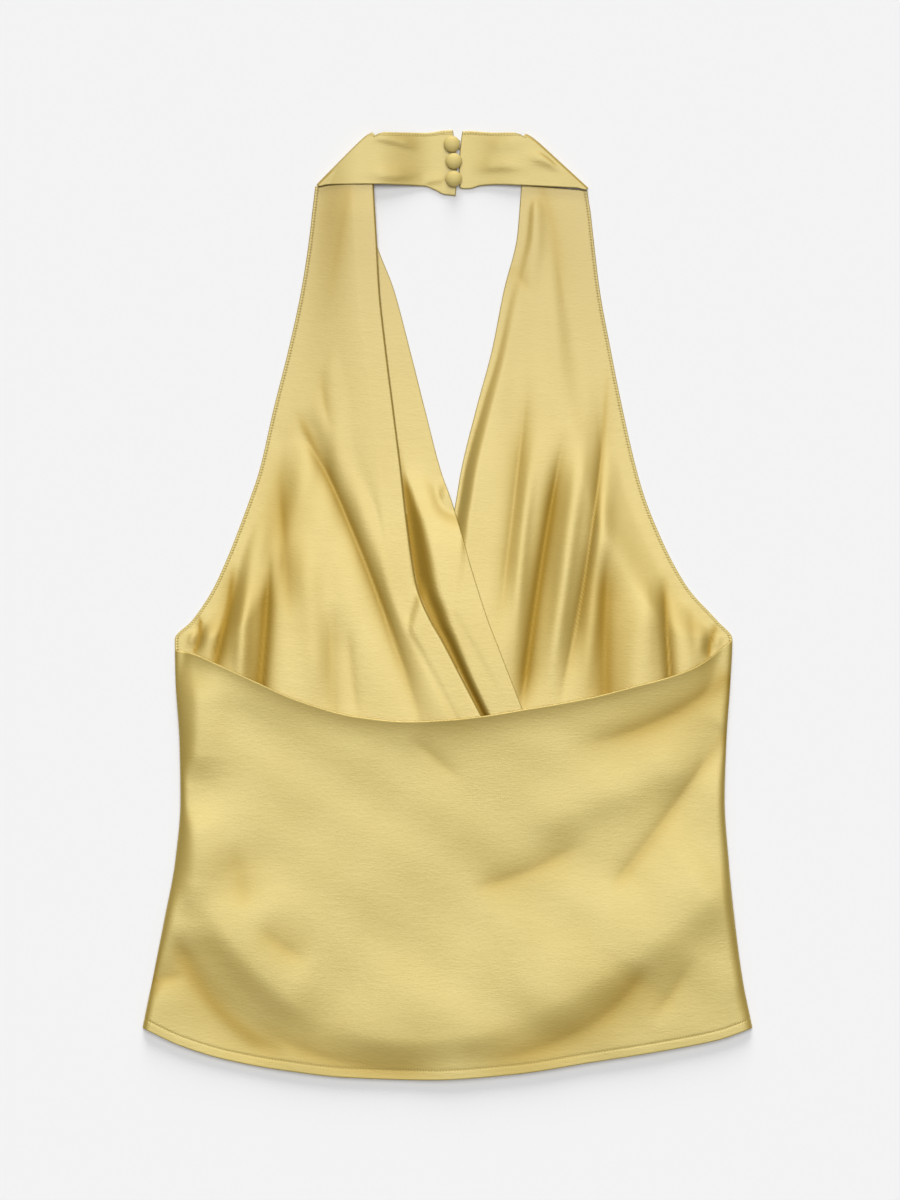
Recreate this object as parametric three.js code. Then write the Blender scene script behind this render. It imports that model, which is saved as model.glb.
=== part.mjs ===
// Halter neck top in pale gold satin, size S, lying flat with its back panel uppermost.
// Millimetres. X runs across the garment, Y from the hem to the neckband, Z up from the table it lies on.
// The origin is on the table, at the middle of the garment's length and width.
import * as THREE from "three";

// Cloth, as thick as it lies with its turned edges
const WALL = 1.2;
const BAND_WALL = 1.5;
const SEAM_GAP = 0.3;
const TURNED_SEAM_GAP = 0.75;
const LYING = WALL / 2;
const LAYER = WALL + SEAM_GAP;

// The pleat beside the neckline edge of the left front
const PLEAT_DEPTH = 13;
const PLEAT_RADIUS = 0.9;
const PLEAT_RADIUS_AT_BAND = 0.78;
const PLEAT_LEAST = 0.8;
const PLEAT_STRAIGHT = 0.02;
const PLEAT_TIGHTENS = { from: 285, to: 308 };
const PLEAT_NARROWS = { from: -84, to: -96 };
const PLEAT_OPENS = { from: -94, to: -112 };

// Levels down the garment
const STRAP_TOP = 312;
const BAND_SEAM_FELT_FROM = 285;
const UNDERARM = -25;
const HEM_BENDS_BELOW = -100;
const HEM_AT_SIDES = -311;
const HEM_HALF_WIDTH = 224.5;

// How high the slack cloth of the fronts stands off the table, before its folds, and how soon it gets there
const SLACK = [
  { y: STRAP_TOP, left: 0, right: 0 },
  { y: 290, left: 1.5, right: 1.5 },
  { y: 205, left: 2.2, right: 2.2 },
  { y: 140, left: 3.2, right: 3.0 },
  { y: 90, left: 3.6, right: 3.6 },
  { y: 20, left: 4.2, right: 3.8 },
  { y: -90, left: 4.6, right: 3.8 },
];
const SLACK_FROM_ARMHOLE = 42;
const FLATTENS_UNDER_BACK = { from: 2, to: 30 };
const SETTLE_ROUNDING = 0.5;

// Distances before the pleat's edge: over which the pleat lifts the left front, on the straps from their outer
// edge on, and over which its other folds die out
const PLEAT_LIFTS = { from: PLEAT_DEPTH + 20, to: PLEAT_DEPTH + 3 };
const PLEAT_LIFTS_STRAP = { from: 60, to: 140 };
const PLEAT_LIFTS_ROUND = 0.6;
const FOLDS_FROM_PLEAT = { from: 12, to: 24 };

// The valley of the strip beside the pleat's edge: how wide it is at each level and how high the strip rises,
// and how far before the neckline edge the strip comes down again, above the levels where it lies on the other
// front
const VALLEY = [
  { y: 125, width: 3, rise: 0 },
  { y: 100, width: 4, rise: 0.7 },
  { y: 80, width: 9, rise: 2.1 },
  { y: 60, width: 14, rise: 4.0 },
  { y: 30, width: 17, rise: 5.0 },
  { y: 0, width: 17, rise: 5.3 },
  { y: -20, width: 13, rise: 5.4 },
  { y: -40, width: 10, rise: 5.4 },
  { y: -60, width: 8, rise: 5.4 },
  { y: -80, width: 7, rise: 5.2 },
];
const STRIP_FALLS_OVER = 18;
const STRIP_FALLS_FROM = { from: 54, to: 84 };

// How soon the right front rises from its neckline edge, and lower down from the hidden side of the pleat
const RISES_FROM_INNER_EDGE = [
  { y: STRAP_TOP, width: 8 },
  { y: 70, width: 9 },
  { y: 20, width: 18 },
  { y: -80, width: 22 },
];
const RISES_PAST_PLEAT = 5;

// Where the fronts cross: the levels over which they meet, and the distances before the right front's edge at
// which the left front steps down off it
const FRONTS_MEET = { from: 80, to: 96 };
const FRONTS_CROSS_BELOW = 90;
const STEPS_DOWN = { from: 18, to: 8 };
const STEPS_DOWN_LOW = { from: 42, to: 22 };
const STEPS_DOWN_LOW_FROM = -60;

// Sections of the two fronts, at a level y each: the armhole edge that becomes the side seam, the edge of the
// pleat and the neckline edge of the left front, and the neckline edge and armhole edge of the right front.
const FRONT_SECTIONS = [
  { y: STRAP_TOP, sideLeft: -97.4, pleat: -55.0, neckLeft: -57.8, neckRight: 54.4, sideRight: 103.0 },
  { y: 272, sideLeft: -101.6, pleat: -52.6, neckLeft: -53.4, neckRight: 51.3, sideRight: 107.3 },
  { y: 232, sideLeft: -107.7, pleat: -50.4, neckLeft: -39.3, neckRight: 41.5, sideRight: 112.1 },
  { y: 188, sideLeft: -117.2, pleat: -45.7, neckLeft: -27.6, neckRight: 32.7, sideRight: 120.2 },
  { y: 144, sideLeft: -128.2, pleat: -40.2, neckLeft: -16.5, neckRight: 20.9, sideRight: 129.0 },
  { y: 99, sideLeft: -138.6, pleat: -34.6, neckLeft: -4.8, neckRight: 9.9, sideRight: 139.4 },
  { y: 77, sideLeft: -146.0, pleat: -32.2, neckLeft: 3.0, neckRight: 6.2, sideRight: 146.0 },
  { y: 55, sideLeft: -154.1, pleat: -29.5, neckLeft: 9.7, neckRight: 2.2, sideRight: 154.8 },
  { y: 33, sideLeft: -162.9, pleat: -26.5, neckLeft: 15.9, neckRight: -2.4, sideRight: 165.1 },
  { y: 11, sideLeft: -173.2, pleat: -22.3, neckLeft: 22.6, neckRight: -7.4, sideRight: 178.3 },
  { y: -11, sideLeft: -187.9, pleat: -12.9, neckLeft: 29.8, neckRight: -14.0, sideRight: 198.3 },
  { y: UNDERARM, sideLeft: -200.8, pleat: -4.8, neckLeft: 35.2, neckRight: -18.6, sideRight: 209.8 },
  { y: -55, sideLeft: -200.3, pleat: 10.8, neckLeft: 46.8, neckRight: -29.0, sideRight: 208.4 },
  { y: -99, sideLeft: -197.4, pleat: 34.0, neckLeft: 64.0, neckRight: -45.0, sideRight: 205.4 },
  { y: -143, sideLeft: -196.6, pleat: 58.0, neckLeft: 84.0, neckRight: -63.0, sideRight: 204.0 },
  { y: -187, sideLeft: -200.3, pleat: 82.0, neckLeft: 108.0, neckRight: -86.0, sideRight: 206.9 },
  { y: -231, sideLeft: -208.4, pleat: 104.0, neckLeft: 136.0, neckRight: -112.0, sideRight: 211.3 },
  { y: -275, sideLeft: -217.2, pleat: 126.0, neckLeft: 167.0, neckRight: -150.0, sideRight: 217.2 },
  { y: HEM_AT_SIDES, sideLeft: -HEM_HALF_WIDTH, pleat: 142.0, neckLeft: 190.0, neckRight: -180.0,
    sideRight: HEM_HALF_WIDTH },
];

// The hem's line, lowest a little left of the middle
const HEM = [
  { x: -HEM_HALF_WIDTH, y: HEM_AT_SIDES },
  { x: -196.6, y: -324.0 },
  { x: -163.5, y: -334.2 },
  { x: -123.8, y: -341.6 },
  { x: -71.7, y: -347.5 },
  { x: -12.9, y: -349.2 },
  { x: 45.9, y: -345.3 },
  { x: 104.7, y: -336.4 },
  { x: 163.5, y: -326.9 },
  { x: 200.3, y: -319.5 },
  { x: HEM_HALF_WIDTH, y: HEM_AT_SIDES },
];

// The back panel's dipped top edge, and how high it stands where it bridges the folds of the fronts
const BACK_EDGE = [
  { x: -200.4, y: -33.2, z: 2.1 },
  { x: -187.0, y: -35.6, z: 5.6 },
  { x: -171.0, y: -42.3, z: 7.2 },
  { x: -143.0, y: -55.1, z: 7.9 },
  { x: -107.7, y: -70.4, z: 8.2 },
  { x: -65.0, y: -81.9, z: 8.5 },
  { x: -28.4, y: -85.2, z: 9.0 },
  { x: 5.0, y: -83.6, z: 9.6 },
  { x: 24.4, y: -81.5, z: 9.6 },
  { x: 54.7, y: -76.7, z: 9.0 },
  { x: 104.1, y: -68.0, z: 8.4 },
  { x: 139.0, y: -59.2, z: 7.9 },
  { x: 163.0, y: -52.8, z: 7.4 },
  { x: 183.8, y: -44.8, z: 6.4 },
  { x: 210.1, y: -25.7, z: 2.1 },
];
const BACK_LIES_AT = 6.0;
const BACK_LOWEST = 3.75;
const BACK_FALLS_OVER = 32;
const RIM_RISES = 0.9;
const RIM_RISES_OVER = 8;
const RIM_FROM_SIDE = 20;
const BACK_INSET = 0.6;
const BACK_LEFT_END = BACK_EDGE[0];
const BACK_RIGHT_END = BACK_EDGE[BACK_EDGE.length - 1];

// How soon the back panel rounds down to its side edges
const SIDE_ROUNDING = [
  { y: -30, left: 9, right: 8 },
  { y: -60, left: 16, right: 7 },
  { y: -110, left: 17, right: 7 },
  { y: -130, left: 7, right: 7 },
  { y: -146, left: 7, right: 7 },
  { y: -165, left: 14, right: 7 },
  { y: -200, left: 17, right: 7 },
  { y: -228, left: 9, right: 8 },
  { y: -256, left: 11, right: 9 },
  { y: -276, left: 17, right: 8 },
  { y: -291, left: 7, right: 12 },
  { y: HEM_AT_SIDES, left: 6, right: 8 },
];

// Folds: each runs from one end, through a middle point, to its other end. A rise below nothing is a trough.
// The widths are those of the slopes to the left and right of someone who walks along it, and the fades are
// the shares of its length over which it starts and dies out.
const FOLDS_LEFT = [
  { name: "strap dent", from: [-71, 316], through: [-81, 258], to: [-93, 200],
    rise: -0.8, left: 8, right: 8, starts: 0.1, dies: 0.6 },
  { name: "long trough", from: [-114, 147], through: [-57, 22], to: [-8, -128],
    rise: -3.1, left: 8, right: 7, starts: 0.1, dies: 0.14 },
  { name: "pleat crest", from: [-90, 150], through: [-38, 4], to: [24, -125],
    rise: 1.2, left: 10, right: 14, starts: 0.3, dies: 0.2 },
  { name: "side trough", from: [-131, 46], through: [-134, -20], to: [-142, -100],
    rise: -2.9, left: 4.5, right: 4, starts: 0.35, dies: 0.2 },
  { name: "broad side trough", from: [-126, 122], through: [-121, 50], to: [-115, -26],
    rise: -1.4, left: 12, right: 9, starts: 0.4, dies: 0.4 },
  { name: "side crest", from: [-136, 90], through: [-149, 10], to: [-152, -90],
    rise: 1.4, left: 6, right: 6, starts: 0.3, dies: 0.3 },
  { name: "underarm trough", from: [-158, 34], through: [-163, -8], to: [-180, -72],
    rise: -2.8, left: 6, right: 4, starts: 0.3, dies: 0.3 },
  { name: "middle crest", from: [-108, 60], through: [-100, -5], to: [-97, -80],
    rise: 1.0, left: 10, right: 10, starts: 0.4, dies: 0.3 },
  { name: "middle trough", from: [-84, 4], through: [-85, -42], to: [-82, -112],
    rise: -1.0, left: 8, right: 9, starts: 0.4, dies: 0.3 },
];
const FOLDS_RIGHT = [
  { name: "strap dent", from: [66, 316], through: [80, 268], to: [87, 205],
    rise: -1.2, left: 8, right: 9, starts: 0.1, dies: 0.5 },
  { name: "inner trough", from: [60, 170], through: [47, 60], to: [36, -34],
    rise: -1.3, left: 7, right: 7, starts: 0.3, dies: 0.4 },
  { name: "inner crest", from: [64, 130], through: [55, 45], to: [48, -50],
    rise: 0.8, left: 5, right: 5, starts: 0.4, dies: 0.4 },
  { name: "long trough", from: [88, 135], through: [69, 30], to: [52, -95],
    rise: -3.2, left: 5.5, right: 5, starts: 0.35, dies: 0.2 },
  { name: "outer crest", from: [98, 120], through: [88, 40], to: [73, -80],
    rise: 1.4, left: 7, right: 7, starts: 0.4, dies: 0.3 },
  { name: "outer trough", from: [118, 186], through: [107, 60], to: [79, -90],
    rise: -1.7, left: 4.5, right: 4, starts: 0.25, dies: 0.3 },
  { name: "flank crest", from: [122, 130], through: [110, 30], to: [100, -80],
    rise: 1.0, left: 7, right: 6, starts: 0.4, dies: 0.3 },
  { name: "flank trough", from: [120, 48], through: [116, -10], to: [117, -100],
    rise: -2.0, left: 12, right: 12, starts: 0.4, dies: 0.2 },
  { name: "side crest", from: [150, 20], through: [142, -30], to: [138, -100],
    rise: 1.0, left: 12, right: 11, starts: 0.4, dies: 0.3 },
  { name: "side trough", from: [160, 28], through: [161, -15], to: [166, -90],
    rise: -3.0, left: 4, right: 3.5, starts: 0.35, dies: 0.2 },
];
const FOLDS_BACK = [
  { name: "shoulder trough", from: [212, -46], through: [158, -84], to: [84, -106],
    rise: -1.6, left: 16, right: 12, starts: 0.1, dies: 0.4 },
  { name: "right waist trough", from: [208, -88], through: [172, -140], to: [118, -212],
    rise: -1.2, left: 12, right: 9, starts: 0.1, dies: 0.12 },
  { name: "upper ridge", from: [190, -112], through: [110, -142], to: [36, -180],
    rise: 1.3, left: 18, right: 22, starts: 0.2, dies: 0.4 },
  { name: "hip ridge", from: [212, -192], through: [126, -262], to: [20, -318],
    rise: 2.8, left: 22, right: 44, starts: 0.15, dies: 0.3 },
  { name: "hem ridge", from: [60, -300], through: [-20, -318], to: [-110, -300],
    rise: 1.8, left: 16, right: 44, starts: 0.3, dies: 0.4 },
  { name: "right hem trough", from: [148, -262], through: [96, -314], to: [0, -340],
    rise: -1.6, left: 12, right: 14, starts: 0.15, dies: 0.3 },
  { name: "middle hem trough", from: [10, -338], through: [-70, -338], to: [-150, -304],
    rise: -1.6, left: 12, right: 14, starts: 0.3, dies: 0.3 },
  { name: "left hem trough", from: [-112, -334], through: [-167, -298], to: [-204, -236],
    rise: -2.2, left: 16, right: 15, starts: 0.3, dies: 0.2 },
  { name: "left hip ridge", from: [-184, -206], through: [-140, -266], to: [-84, -310],
    rise: 2.0, left: 36, right: 16, starts: 0.3, dies: 0.3 },
  { name: "left upper ridge", from: [-186, -45], through: [-182, -90], to: [-188, -132],
    rise: 1.6, left: 22, right: 9, starts: 0.3, dies: 0.3 },
  { name: "left waist ridge", from: [-188, -140], through: [-184, -186], to: [-192, -232],
    rise: 1.6, left: 22, right: 10, starts: 0.3, dies: 0.3 },
];
const FOLD_REACH = 4.0;
const CREASE_ROUNDING = 0.15;

// Halves of the neckband. Each runs on up from its strap's top, folds over on a slant that starts at the
// strap's outer edge, and then runs along to the centre. `low` and `high` are its edges after the fold.
const BAND_LEFT = {
  side: 1,
  corner: [-96, 309],
  slant: [39.8, 39.5],
  seam: { outer: 308.6, inner: 311.7 },
  edges: [
    { x: -96, low: 309.0, high: 348.5 },
    { x: -84, low: 309.3, high: 348.2 },
    { x: -54, low: 309.4, high: 347.8 },
    { x: -33, low: 309.0, high: 347.8 },
    { x: -17, low: 308.3, high: 347.8 },
    { x: -9, low: 305.4, high: 348.6 },
    { x: -3, low: 302.4, high: 349.6 },
    { x: 6, low: 301.2, high: 350.0 },
  ],
  end: { low: 6.0, high: 3.9, bulge: 1.6 },
  fold: { outer: 1.4, inner: 2.3 },
  overPleat: 4.7,
};
const BAND_RIGHT = {
  side: -1,
  corner: [103.4, 306.4],
  slant: [45.0, 41.4],
  seam: { outer: 305.3, inner: 309.6 },
  edges: [
    { x: 8, low: 307.6, high: 348.8 },
    { x: 12, low: 306.4, high: 349.0 },
    { x: 17, low: 306.6, high: 349.3 },
    { x: 24, low: 308.6, high: 348.6 },
    { x: 36, low: 309.4, high: 347.8 },
    { x: 55, low: 308.7, high: 347.8 },
    { x: 78, low: 307.6, high: 347.8 },
    { x: 103.4, low: 306.4, high: 347.8 },
  ],
  end: { low: 8.9, high: 11.6, bulge: -0.9 },
  fold: { outer: 1.4, inner: 1.6 },
  overPleat: 0,
};
const BAND_FALLS = { from: 2, to: 48 };
const BAND_CLIMBS = { from: -50, to: -22 };
const BAND_SETTLES_TO_EDGES_OVER = 8;
const BAND_LEAST_BEFORE_TURN = 0.4;

// Covered buttons on the left half's end, and their loops
const BUTTONS = [
  { name: "top", x: 3.2, y: 339.0 },
  { name: "middle", x: 4.6, y: 326.6 },
  { name: "bottom", x: 4.5, y: 313.6 },
];
const BUTTON_RADIUS = 6;
const SHANK_RADIUS = 1.5;
const SHANK_HEIGHT = 1.9;
const BUTTON_LIFT = BAND_WALL + SEAM_GAP;
const BUTTON_DOME = [
  { in: 0.9, z: SHANK_HEIGHT },
  { in: 0.15, z: 2.4 },
  { in: 0, z: 3.1 },
  { in: 0.5, z: 4.0 },
  { in: 1.7, z: 4.9 },
  { in: 3.6, z: 5.5 },
  { in: BUTTON_RADIUS, z: 5.7 },
];
const CORD_RADIUS = 0.6;
const CORD_REACH = SHANK_RADIUS + SEAM_GAP + CORD_RADIUS;
const LOOP_HEIGHT = BUTTON_LIFT + SHANK_HEIGHT / 2;
// Each leg of a loop on its way to the shank: how far before the band's end, how much wider than at the
// shank, and how high it runs
const LOOP_LEG = [
  { beforeEnd: 0, wider: 0.3, z: BAND_WALL / 2 },
  { beforeEnd: 0.1, wider: 0.3, z: 1.7 },
  { beforeEnd: 0.9, wider: 0.2, z: LOOP_HEIGHT },
];
const LOOP_PAST_MIDDLE = 0.6;
const LOOP_ROUND_SHANK = [-50, 0, 50];

// How finely each wall is divided
const STRAP_ROWS = 25;
const TO_BACK_ROWS = 6;
const PLEAT_END_ROWS = 4;
const HIDDEN_ROWS = 6;
const LEFT_COLUMNS = 21;
const STRIP_COLUMNS = 8;
const TURN_STEPS = 4;
const RIGHT_COLUMNS = 29;
const BACK_COLUMNS = 30;
const BACK_ROWS = 20;
const BACK_ROWS_CROWD_UP = 1.15;
const BACK_COLUMNS_EVEN = 0.35;
const FOLD_STEPS = 10;
const BAND_COLUMNS = 6;
const BAND_STEPS = { before: 2, turn: 6, after: 10 };
const BUTTON_SIDES = 16;
const LOOP_STEPS = 18;
const CORD_ARC_STEPS = 3;

const { lerp: mix, clamp, degToRad } = THREE.MathUtils;
const clamp01 = (value) => clamp(value, 0, 1);

function smooth(from, to, value) {
  const share = clamp01((value - from) / (to - from));
  return share * share * (3 - 2 * share);
}

// A smooth curve through one column of a table, with no overshoot between its rows
function curveOf(table, along, column) {
  const rows = [...table].sort((a, b) => a[along] - b[along]);
  const at = rows.map((row) => row[along]);
  const value = rows.map((row) => row[column]);
  const slope = at.slice(1).map((end, i) => (value[i + 1] - value[i]) / (end - at[i]));
  const tangent = at.map((_, i) => {
    if (i === 0) return slope[0];
    if (i === slope.length) return slope[i - 1];
    const product = slope[i - 1] * slope[i];
    return product <= 0 ? 0 : (2 * product) / (slope[i - 1] + slope[i]);
  });
  return (place) => {
    const p = clamp(place, at[0], at[at.length - 1]);
    let i = 0;
    while (i < slope.length - 1 && p > at[i + 1]) i += 1;
    const width = at[i + 1] - at[i];
    const t = (p - at[i]) / width;
    const rise = t * t * (3 - 2 * t);
    const leave = t * (1 - t) * (1 - t) * width * tangent[i];
    const arrive = -t * t * (1 - t) * width * tangent[i + 1];
    return mix(value[i], value[i + 1], rise) + leave + arrive;
  };
}

const sideLeft = curveOf(FRONT_SECTIONS, "y", "sideLeft");
const pleatEdge = curveOf(FRONT_SECTIONS, "y", "pleat");
const neckLeft = curveOf(FRONT_SECTIONS, "y", "neckLeft");
const neckRight = curveOf(FRONT_SECTIONS, "y", "neckRight");
const sideRight = curveOf(FRONT_SECTIONS, "y", "sideRight");
const slackLeft = curveOf(SLACK, "y", "left");
const slackRight = curveOf(SLACK, "y", "right");
const valleyWidth = curveOf(VALLEY, "y", "width");
const valleyRise = curveOf(VALLEY, "y", "rise");
const risesOver = curveOf(RISES_FROM_INNER_EDGE, "y", "width");
const roundsLeft = curveOf(SIDE_ROUNDING, "y", "left");
const roundsRight = curveOf(SIDE_ROUNDING, "y", "right");
const hemLine = curveOf(HEM, "x", "y");
const backEdge = curveOf(BACK_EDGE, "x", "y");
const backEdgeHeight = curveOf(BACK_EDGE, "x", "z");

// What the folds of a table add to the height of the cloth at a point
function heightOfFolds(folds, x, y) {
  let total = 0;
  for (const fold of folds) {
    const { distance, isLeft, along } = nearestOn(lineOf(fold), x, y);
    const ends = smooth(0, fold.starts, along) * smooth(0, fold.dies, 1 - along);
    total += fold.rise * ends * foldForm(fold.rise, distance / (isLeft ? fold.left : fold.right));
  }
  return total;
}

// A ridge is round. A trough is a soft crease, whose slopes are steepest near its bottom.
function foldForm(rise, out) {
  if (rise > 0) return Math.exp(-(out ** 2));
  return Math.exp(CREASE_ROUNDING - Math.hypot(out, CREASE_ROUNDING)) * smooth(FOLD_REACH, FOLD_REACH / 2, out);
}

// The place on a line nearest to a point: its distance, the point's side of it, and its share of the line
function nearestOn(line, x, y) {
  let nearest = { distance: Infinity };
  for (let i = 1; i < line.length; i += 1) {
    const [ax, ay] = line[i - 1];
    const [bx, by] = line[i];
    const [dx, dy] = [bx - ax, by - ay];
    const share = clamp01(((x - ax) * dx + (y - ay) * dy) / (dx * dx + dy * dy));
    const [offX, offY] = [x - ax - share * dx, y - ay - share * dy];
    const distance = Math.hypot(offX, offY);
    const along = (i - 1 + share) / (line.length - 1);
    if (distance < nearest.distance) nearest = { distance, isLeft: dx * offY - dy * offX > 0, along };
  }
  return nearest;
}

function lineOf(fold) {
  fold.line ??= bowThrough(fold.from, fold.through, fold.to);
  return fold.line;
}

function bowThrough(from, through, to) {
  const bend = through.map((value, i) => 2 * value - (from[i] + to[i]) / 2);
  const curve = new THREE.QuadraticBezierCurve(
    new THREE.Vector2(...from),
    new THREE.Vector2(...bend),
    new THREE.Vector2(...to),
  );
  return curve.getPoints(FOLD_STEPS).map((point) => [point.x, point.y]);
}

// Cloth can't go below what it lies on, so a height that would is rounded off at nothing
function settle(height) {
  if (height <= 0) return 0;
  if (height < 2 * SETTLE_ROUNDING) return (height * height) / (4 * SETTLE_ROUNDING);
  return height - SETTLE_ROUNDING;
}

// The weight of the back panel flattens the fronts beneath it
function clearOfBack(x, y) {
  return 1 - smooth(FLATTENS_UNDER_BACK.from, FLATTENS_UNDER_BACK.to, backEdge(x) - y);
}

// The right front lies on the table, flat under the other one's main part and raised in folds beside it
function rightHeight(x, y) {
  const inner = Math.max(neckRight(y), pleatEdge(y) + RISES_PAST_PLEAT);
  const free = smooth(0, risesOver(y), x - inner) * smooth(0, SLACK_FROM_ARMHOLE, sideRight(y) - x);
  const raised = slackRight(y) + heightOfFolds(FOLDS_RIGHT, x, y);
  return LYING + settle(raised * free * clearOfBack(x, y));
}

// How high the right front lifts the left front, from well before its own edge
function onRight(x, y) {
  const low = smooth(STEPS_DOWN_LOW_FROM, HEM_BENDS_BELOW, y);
  const from = mix(STEPS_DOWN.from, STEPS_DOWN_LOW.from, low);
  const to = mix(STEPS_DOWN.to, STEPS_DOWN_LOW.to, low);
  const crossed = 1 - smooth(FRONTS_MEET.from, FRONTS_MEET.to, y);
  return LAYER * crossed * smooth(from, to, neckRight(y) - x);
}

// The left front up to its pleat, which lifts it by the pleat's own height at its edge
function leftHeight(x, y, drop) {
  const before = pleatEdge(y) - x;
  const onStrap = smooth(PLEAT_LIFTS_STRAP.from, PLEAT_LIFTS_STRAP.to, y);
  const reach = mix(PLEAT_LIFTS.from, pleatEdge(y) - sideLeft(y), onStrap);
  const share = clamp01((reach - before) / (reach - PLEAT_LIFTS.to));
  const lifted = drop * mix(share, smooth(0, 1, share), PLEAT_LIFTS_ROUND);
  const folds = heightOfFolds(FOLDS_LEFT, x, y) * smooth(FOLDS_FROM_PLEAT.from, FOLDS_FROM_PLEAT.to, before);
  const free = smooth(0, SLACK_FROM_ARMHOLE, x - sideLeft(y)) * clearOfBack(x, y);
  return lifted + settle((slackLeft(y) + folds) * free - lifted - onRight(x, y));
}

// The strip rises beside the pleat's edge and comes down on the right front, or on the table
function stripHeight(x, y) {
  const falls = smooth(0, STRIP_FALLS_OVER, neckLeft(y) - x);
  const comesDown = mix(1, falls, smooth(STRIP_FALLS_FROM.from, STRIP_FALLS_FROM.to, y));
  const risen = smooth(0, 1, (x - pleatEdge(y)) / valleyWidth(y)) * comesDown;
  const covered = y < FRONTS_CROSS_BELOW ? rightHeight(x, y) - LYING : 0;
  return covered + settle(valleyRise(y) * risen * clearOfBack(x, y) - covered - onRight(x, y));
}

// One section of the left front at a level: out from the side to the pleat's edge, round and back under it,
// round again, and on along the strip to the neckline edge. Heights are above what the panel lies on.
// Where the pleat opens, its two turns keep their length and straighten.
function leftSection(y) {
  const tight = smooth(PLEAT_TIGHTENS.from, PLEAT_TIGHTENS.to, y);
  const narrow = smooth(PLEAT_NARROWS.from, PLEAT_NARROWS.to, y);
  const open = smooth(PLEAT_OPENS.from, PLEAT_OPENS.to, y);
  const folded = mix(PLEAT_RADIUS, PLEAT_RADIUS_AT_BAND, tight);
  const back = mix(PLEAT_DEPTH - 2 * folded, PLEAT_LEAST, narrow);
  const turn = mix(Math.PI, PLEAT_STRAIGHT, open);
  const radius = (folded * Math.PI) / turn;
  const drop = 2 * radius * (1 - Math.cos(turn)) + back * Math.sin(turn);
  const start = sideLeft(y);
  const bend = pleatEdge(y) - folded;
  const section = [];
  for (let i = 0; i < LEFT_COLUMNS; i += 1) {
    const x = mix(start, bend, i / LEFT_COLUMNS);
    section.push([x, leftHeight(x, y, drop)]);
  }
  for (let i = 0; i <= TURN_STEPS; i += 1) {
    const angle = (turn * i) / TURN_STEPS;
    section.push([bend + radius * Math.sin(angle), drop - radius * (1 - Math.cos(angle))]);
  }
  const [x1, z1] = section[section.length - 1];
  const [x2, z2] = [x1 + back * Math.cos(turn), z1 - back * Math.sin(turn)];
  section.push([(x1 + x2) / 2, (z1 + z2) / 2]);
  for (let i = TURN_STEPS; i >= 0; i -= 1) {
    const angle = (turn * i) / TURN_STEPS;
    const round = radius * (Math.sin(turn) - Math.sin(angle));
    section.push([x2 + round, z2 + radius * (Math.cos(turn) - Math.cos(angle))]);
  }
  const [x3] = section[section.length - 1];
  for (let i = 1; i <= STRIP_COLUMNS; i += 1) {
    const x = mix(x3, neckLeft(y), i / STRIP_COLUMNS);
    section.push([x, stripHeight(x, y)]);
  }
  return section.map(([x, z]) => [x, z + LYING + onRight(x, y)]);
}

// The levels at which the fronts are cut into sections, from the strap's top to the hem
function frontLevels() {
  const levels = [];
  const spans = [
    { from: STRAP_TOP, to: UNDERARM, rows: STRAP_ROWS },
    { from: UNDERARM, to: PLEAT_NARROWS.from, rows: TO_BACK_ROWS },
    { from: PLEAT_NARROWS.from, to: PLEAT_OPENS.to, rows: PLEAT_END_ROWS },
    { from: PLEAT_OPENS.to, to: HEM_AT_SIDES, rows: HIDDEN_ROWS },
  ];
  for (const { from, to, rows } of spans)
    for (let i = 0; i < rows; i += 1) levels.push(mix(from, to, i / rows));
  return [...levels, HEM_AT_SIDES];
}

// Sections low on the garment bend down with the hem, and the topmost one follows the neckband's seam
function bentLevel(level, x, band) {
  const low = clamp01((HEM_BENDS_BELOW - level) / (HEM_BENDS_BELOW - HEM_AT_SIDES));
  const high = smooth(BAND_SEAM_FELT_FROM, STRAP_TOP, level);
  const seam = seamOf(band, x) - STRAP_TOP;
  return level + low * (hemLine(x) - HEM_AT_SIDES) + high * seam;
}

// Where the seam between a strap and its half of the neckband runs
function seamOf(band, x) {
  const across = (band.side * (x - band.corner[0])) / band.slant[0];
  return mix(band.seam.outer, band.seam.inner, across);
}

function makeFrontLeft() {
  const rows = frontLevels().map((level) =>
    leftSection(level).map(([x, z]) => new THREE.Vector3(x, bentLevel(level, x, BAND_LEFT), z)),
  );
  return wallOf(rows, WALL);
}

function makeFrontRight() {
  const rows = frontLevels().map((level) => {
    const row = [];
    for (let i = 0; i <= RIGHT_COLUMNS; i += 1) {
      const x = mix(neckRight(level), sideRight(level), i / RIGHT_COLUMNS);
      row.push(new THREE.Vector3(x, bentLevel(level, x, BAND_RIGHT), rightHeight(x, level)));
    }
    return row;
  });
  return wallOf(rows, WALL);
}

// The back lies on the fronts in broad soft folds, rounds down to its side seams and bridges to its top edge
function makeBack() {
  const rows = [];
  for (let j = 0; j <= BACK_ROWS; j += 1) {
    const down = (j / BACK_ROWS) ** BACK_ROWS_CROWD_UP;
    const row = [];
    for (let i = 0; i <= BACK_COLUMNS; i += 1) {
      const even = i / BACK_COLUMNS;
      const crowdedOut = 0.5 - 0.5 * Math.cos(Math.PI * even);
      row.push(backPoint(mix(crowdedOut, even, BACK_COLUMNS_EVEN), down));
    }
    rows.push(row);
  }
  return wallOf(rows, WALL);
}

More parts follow.
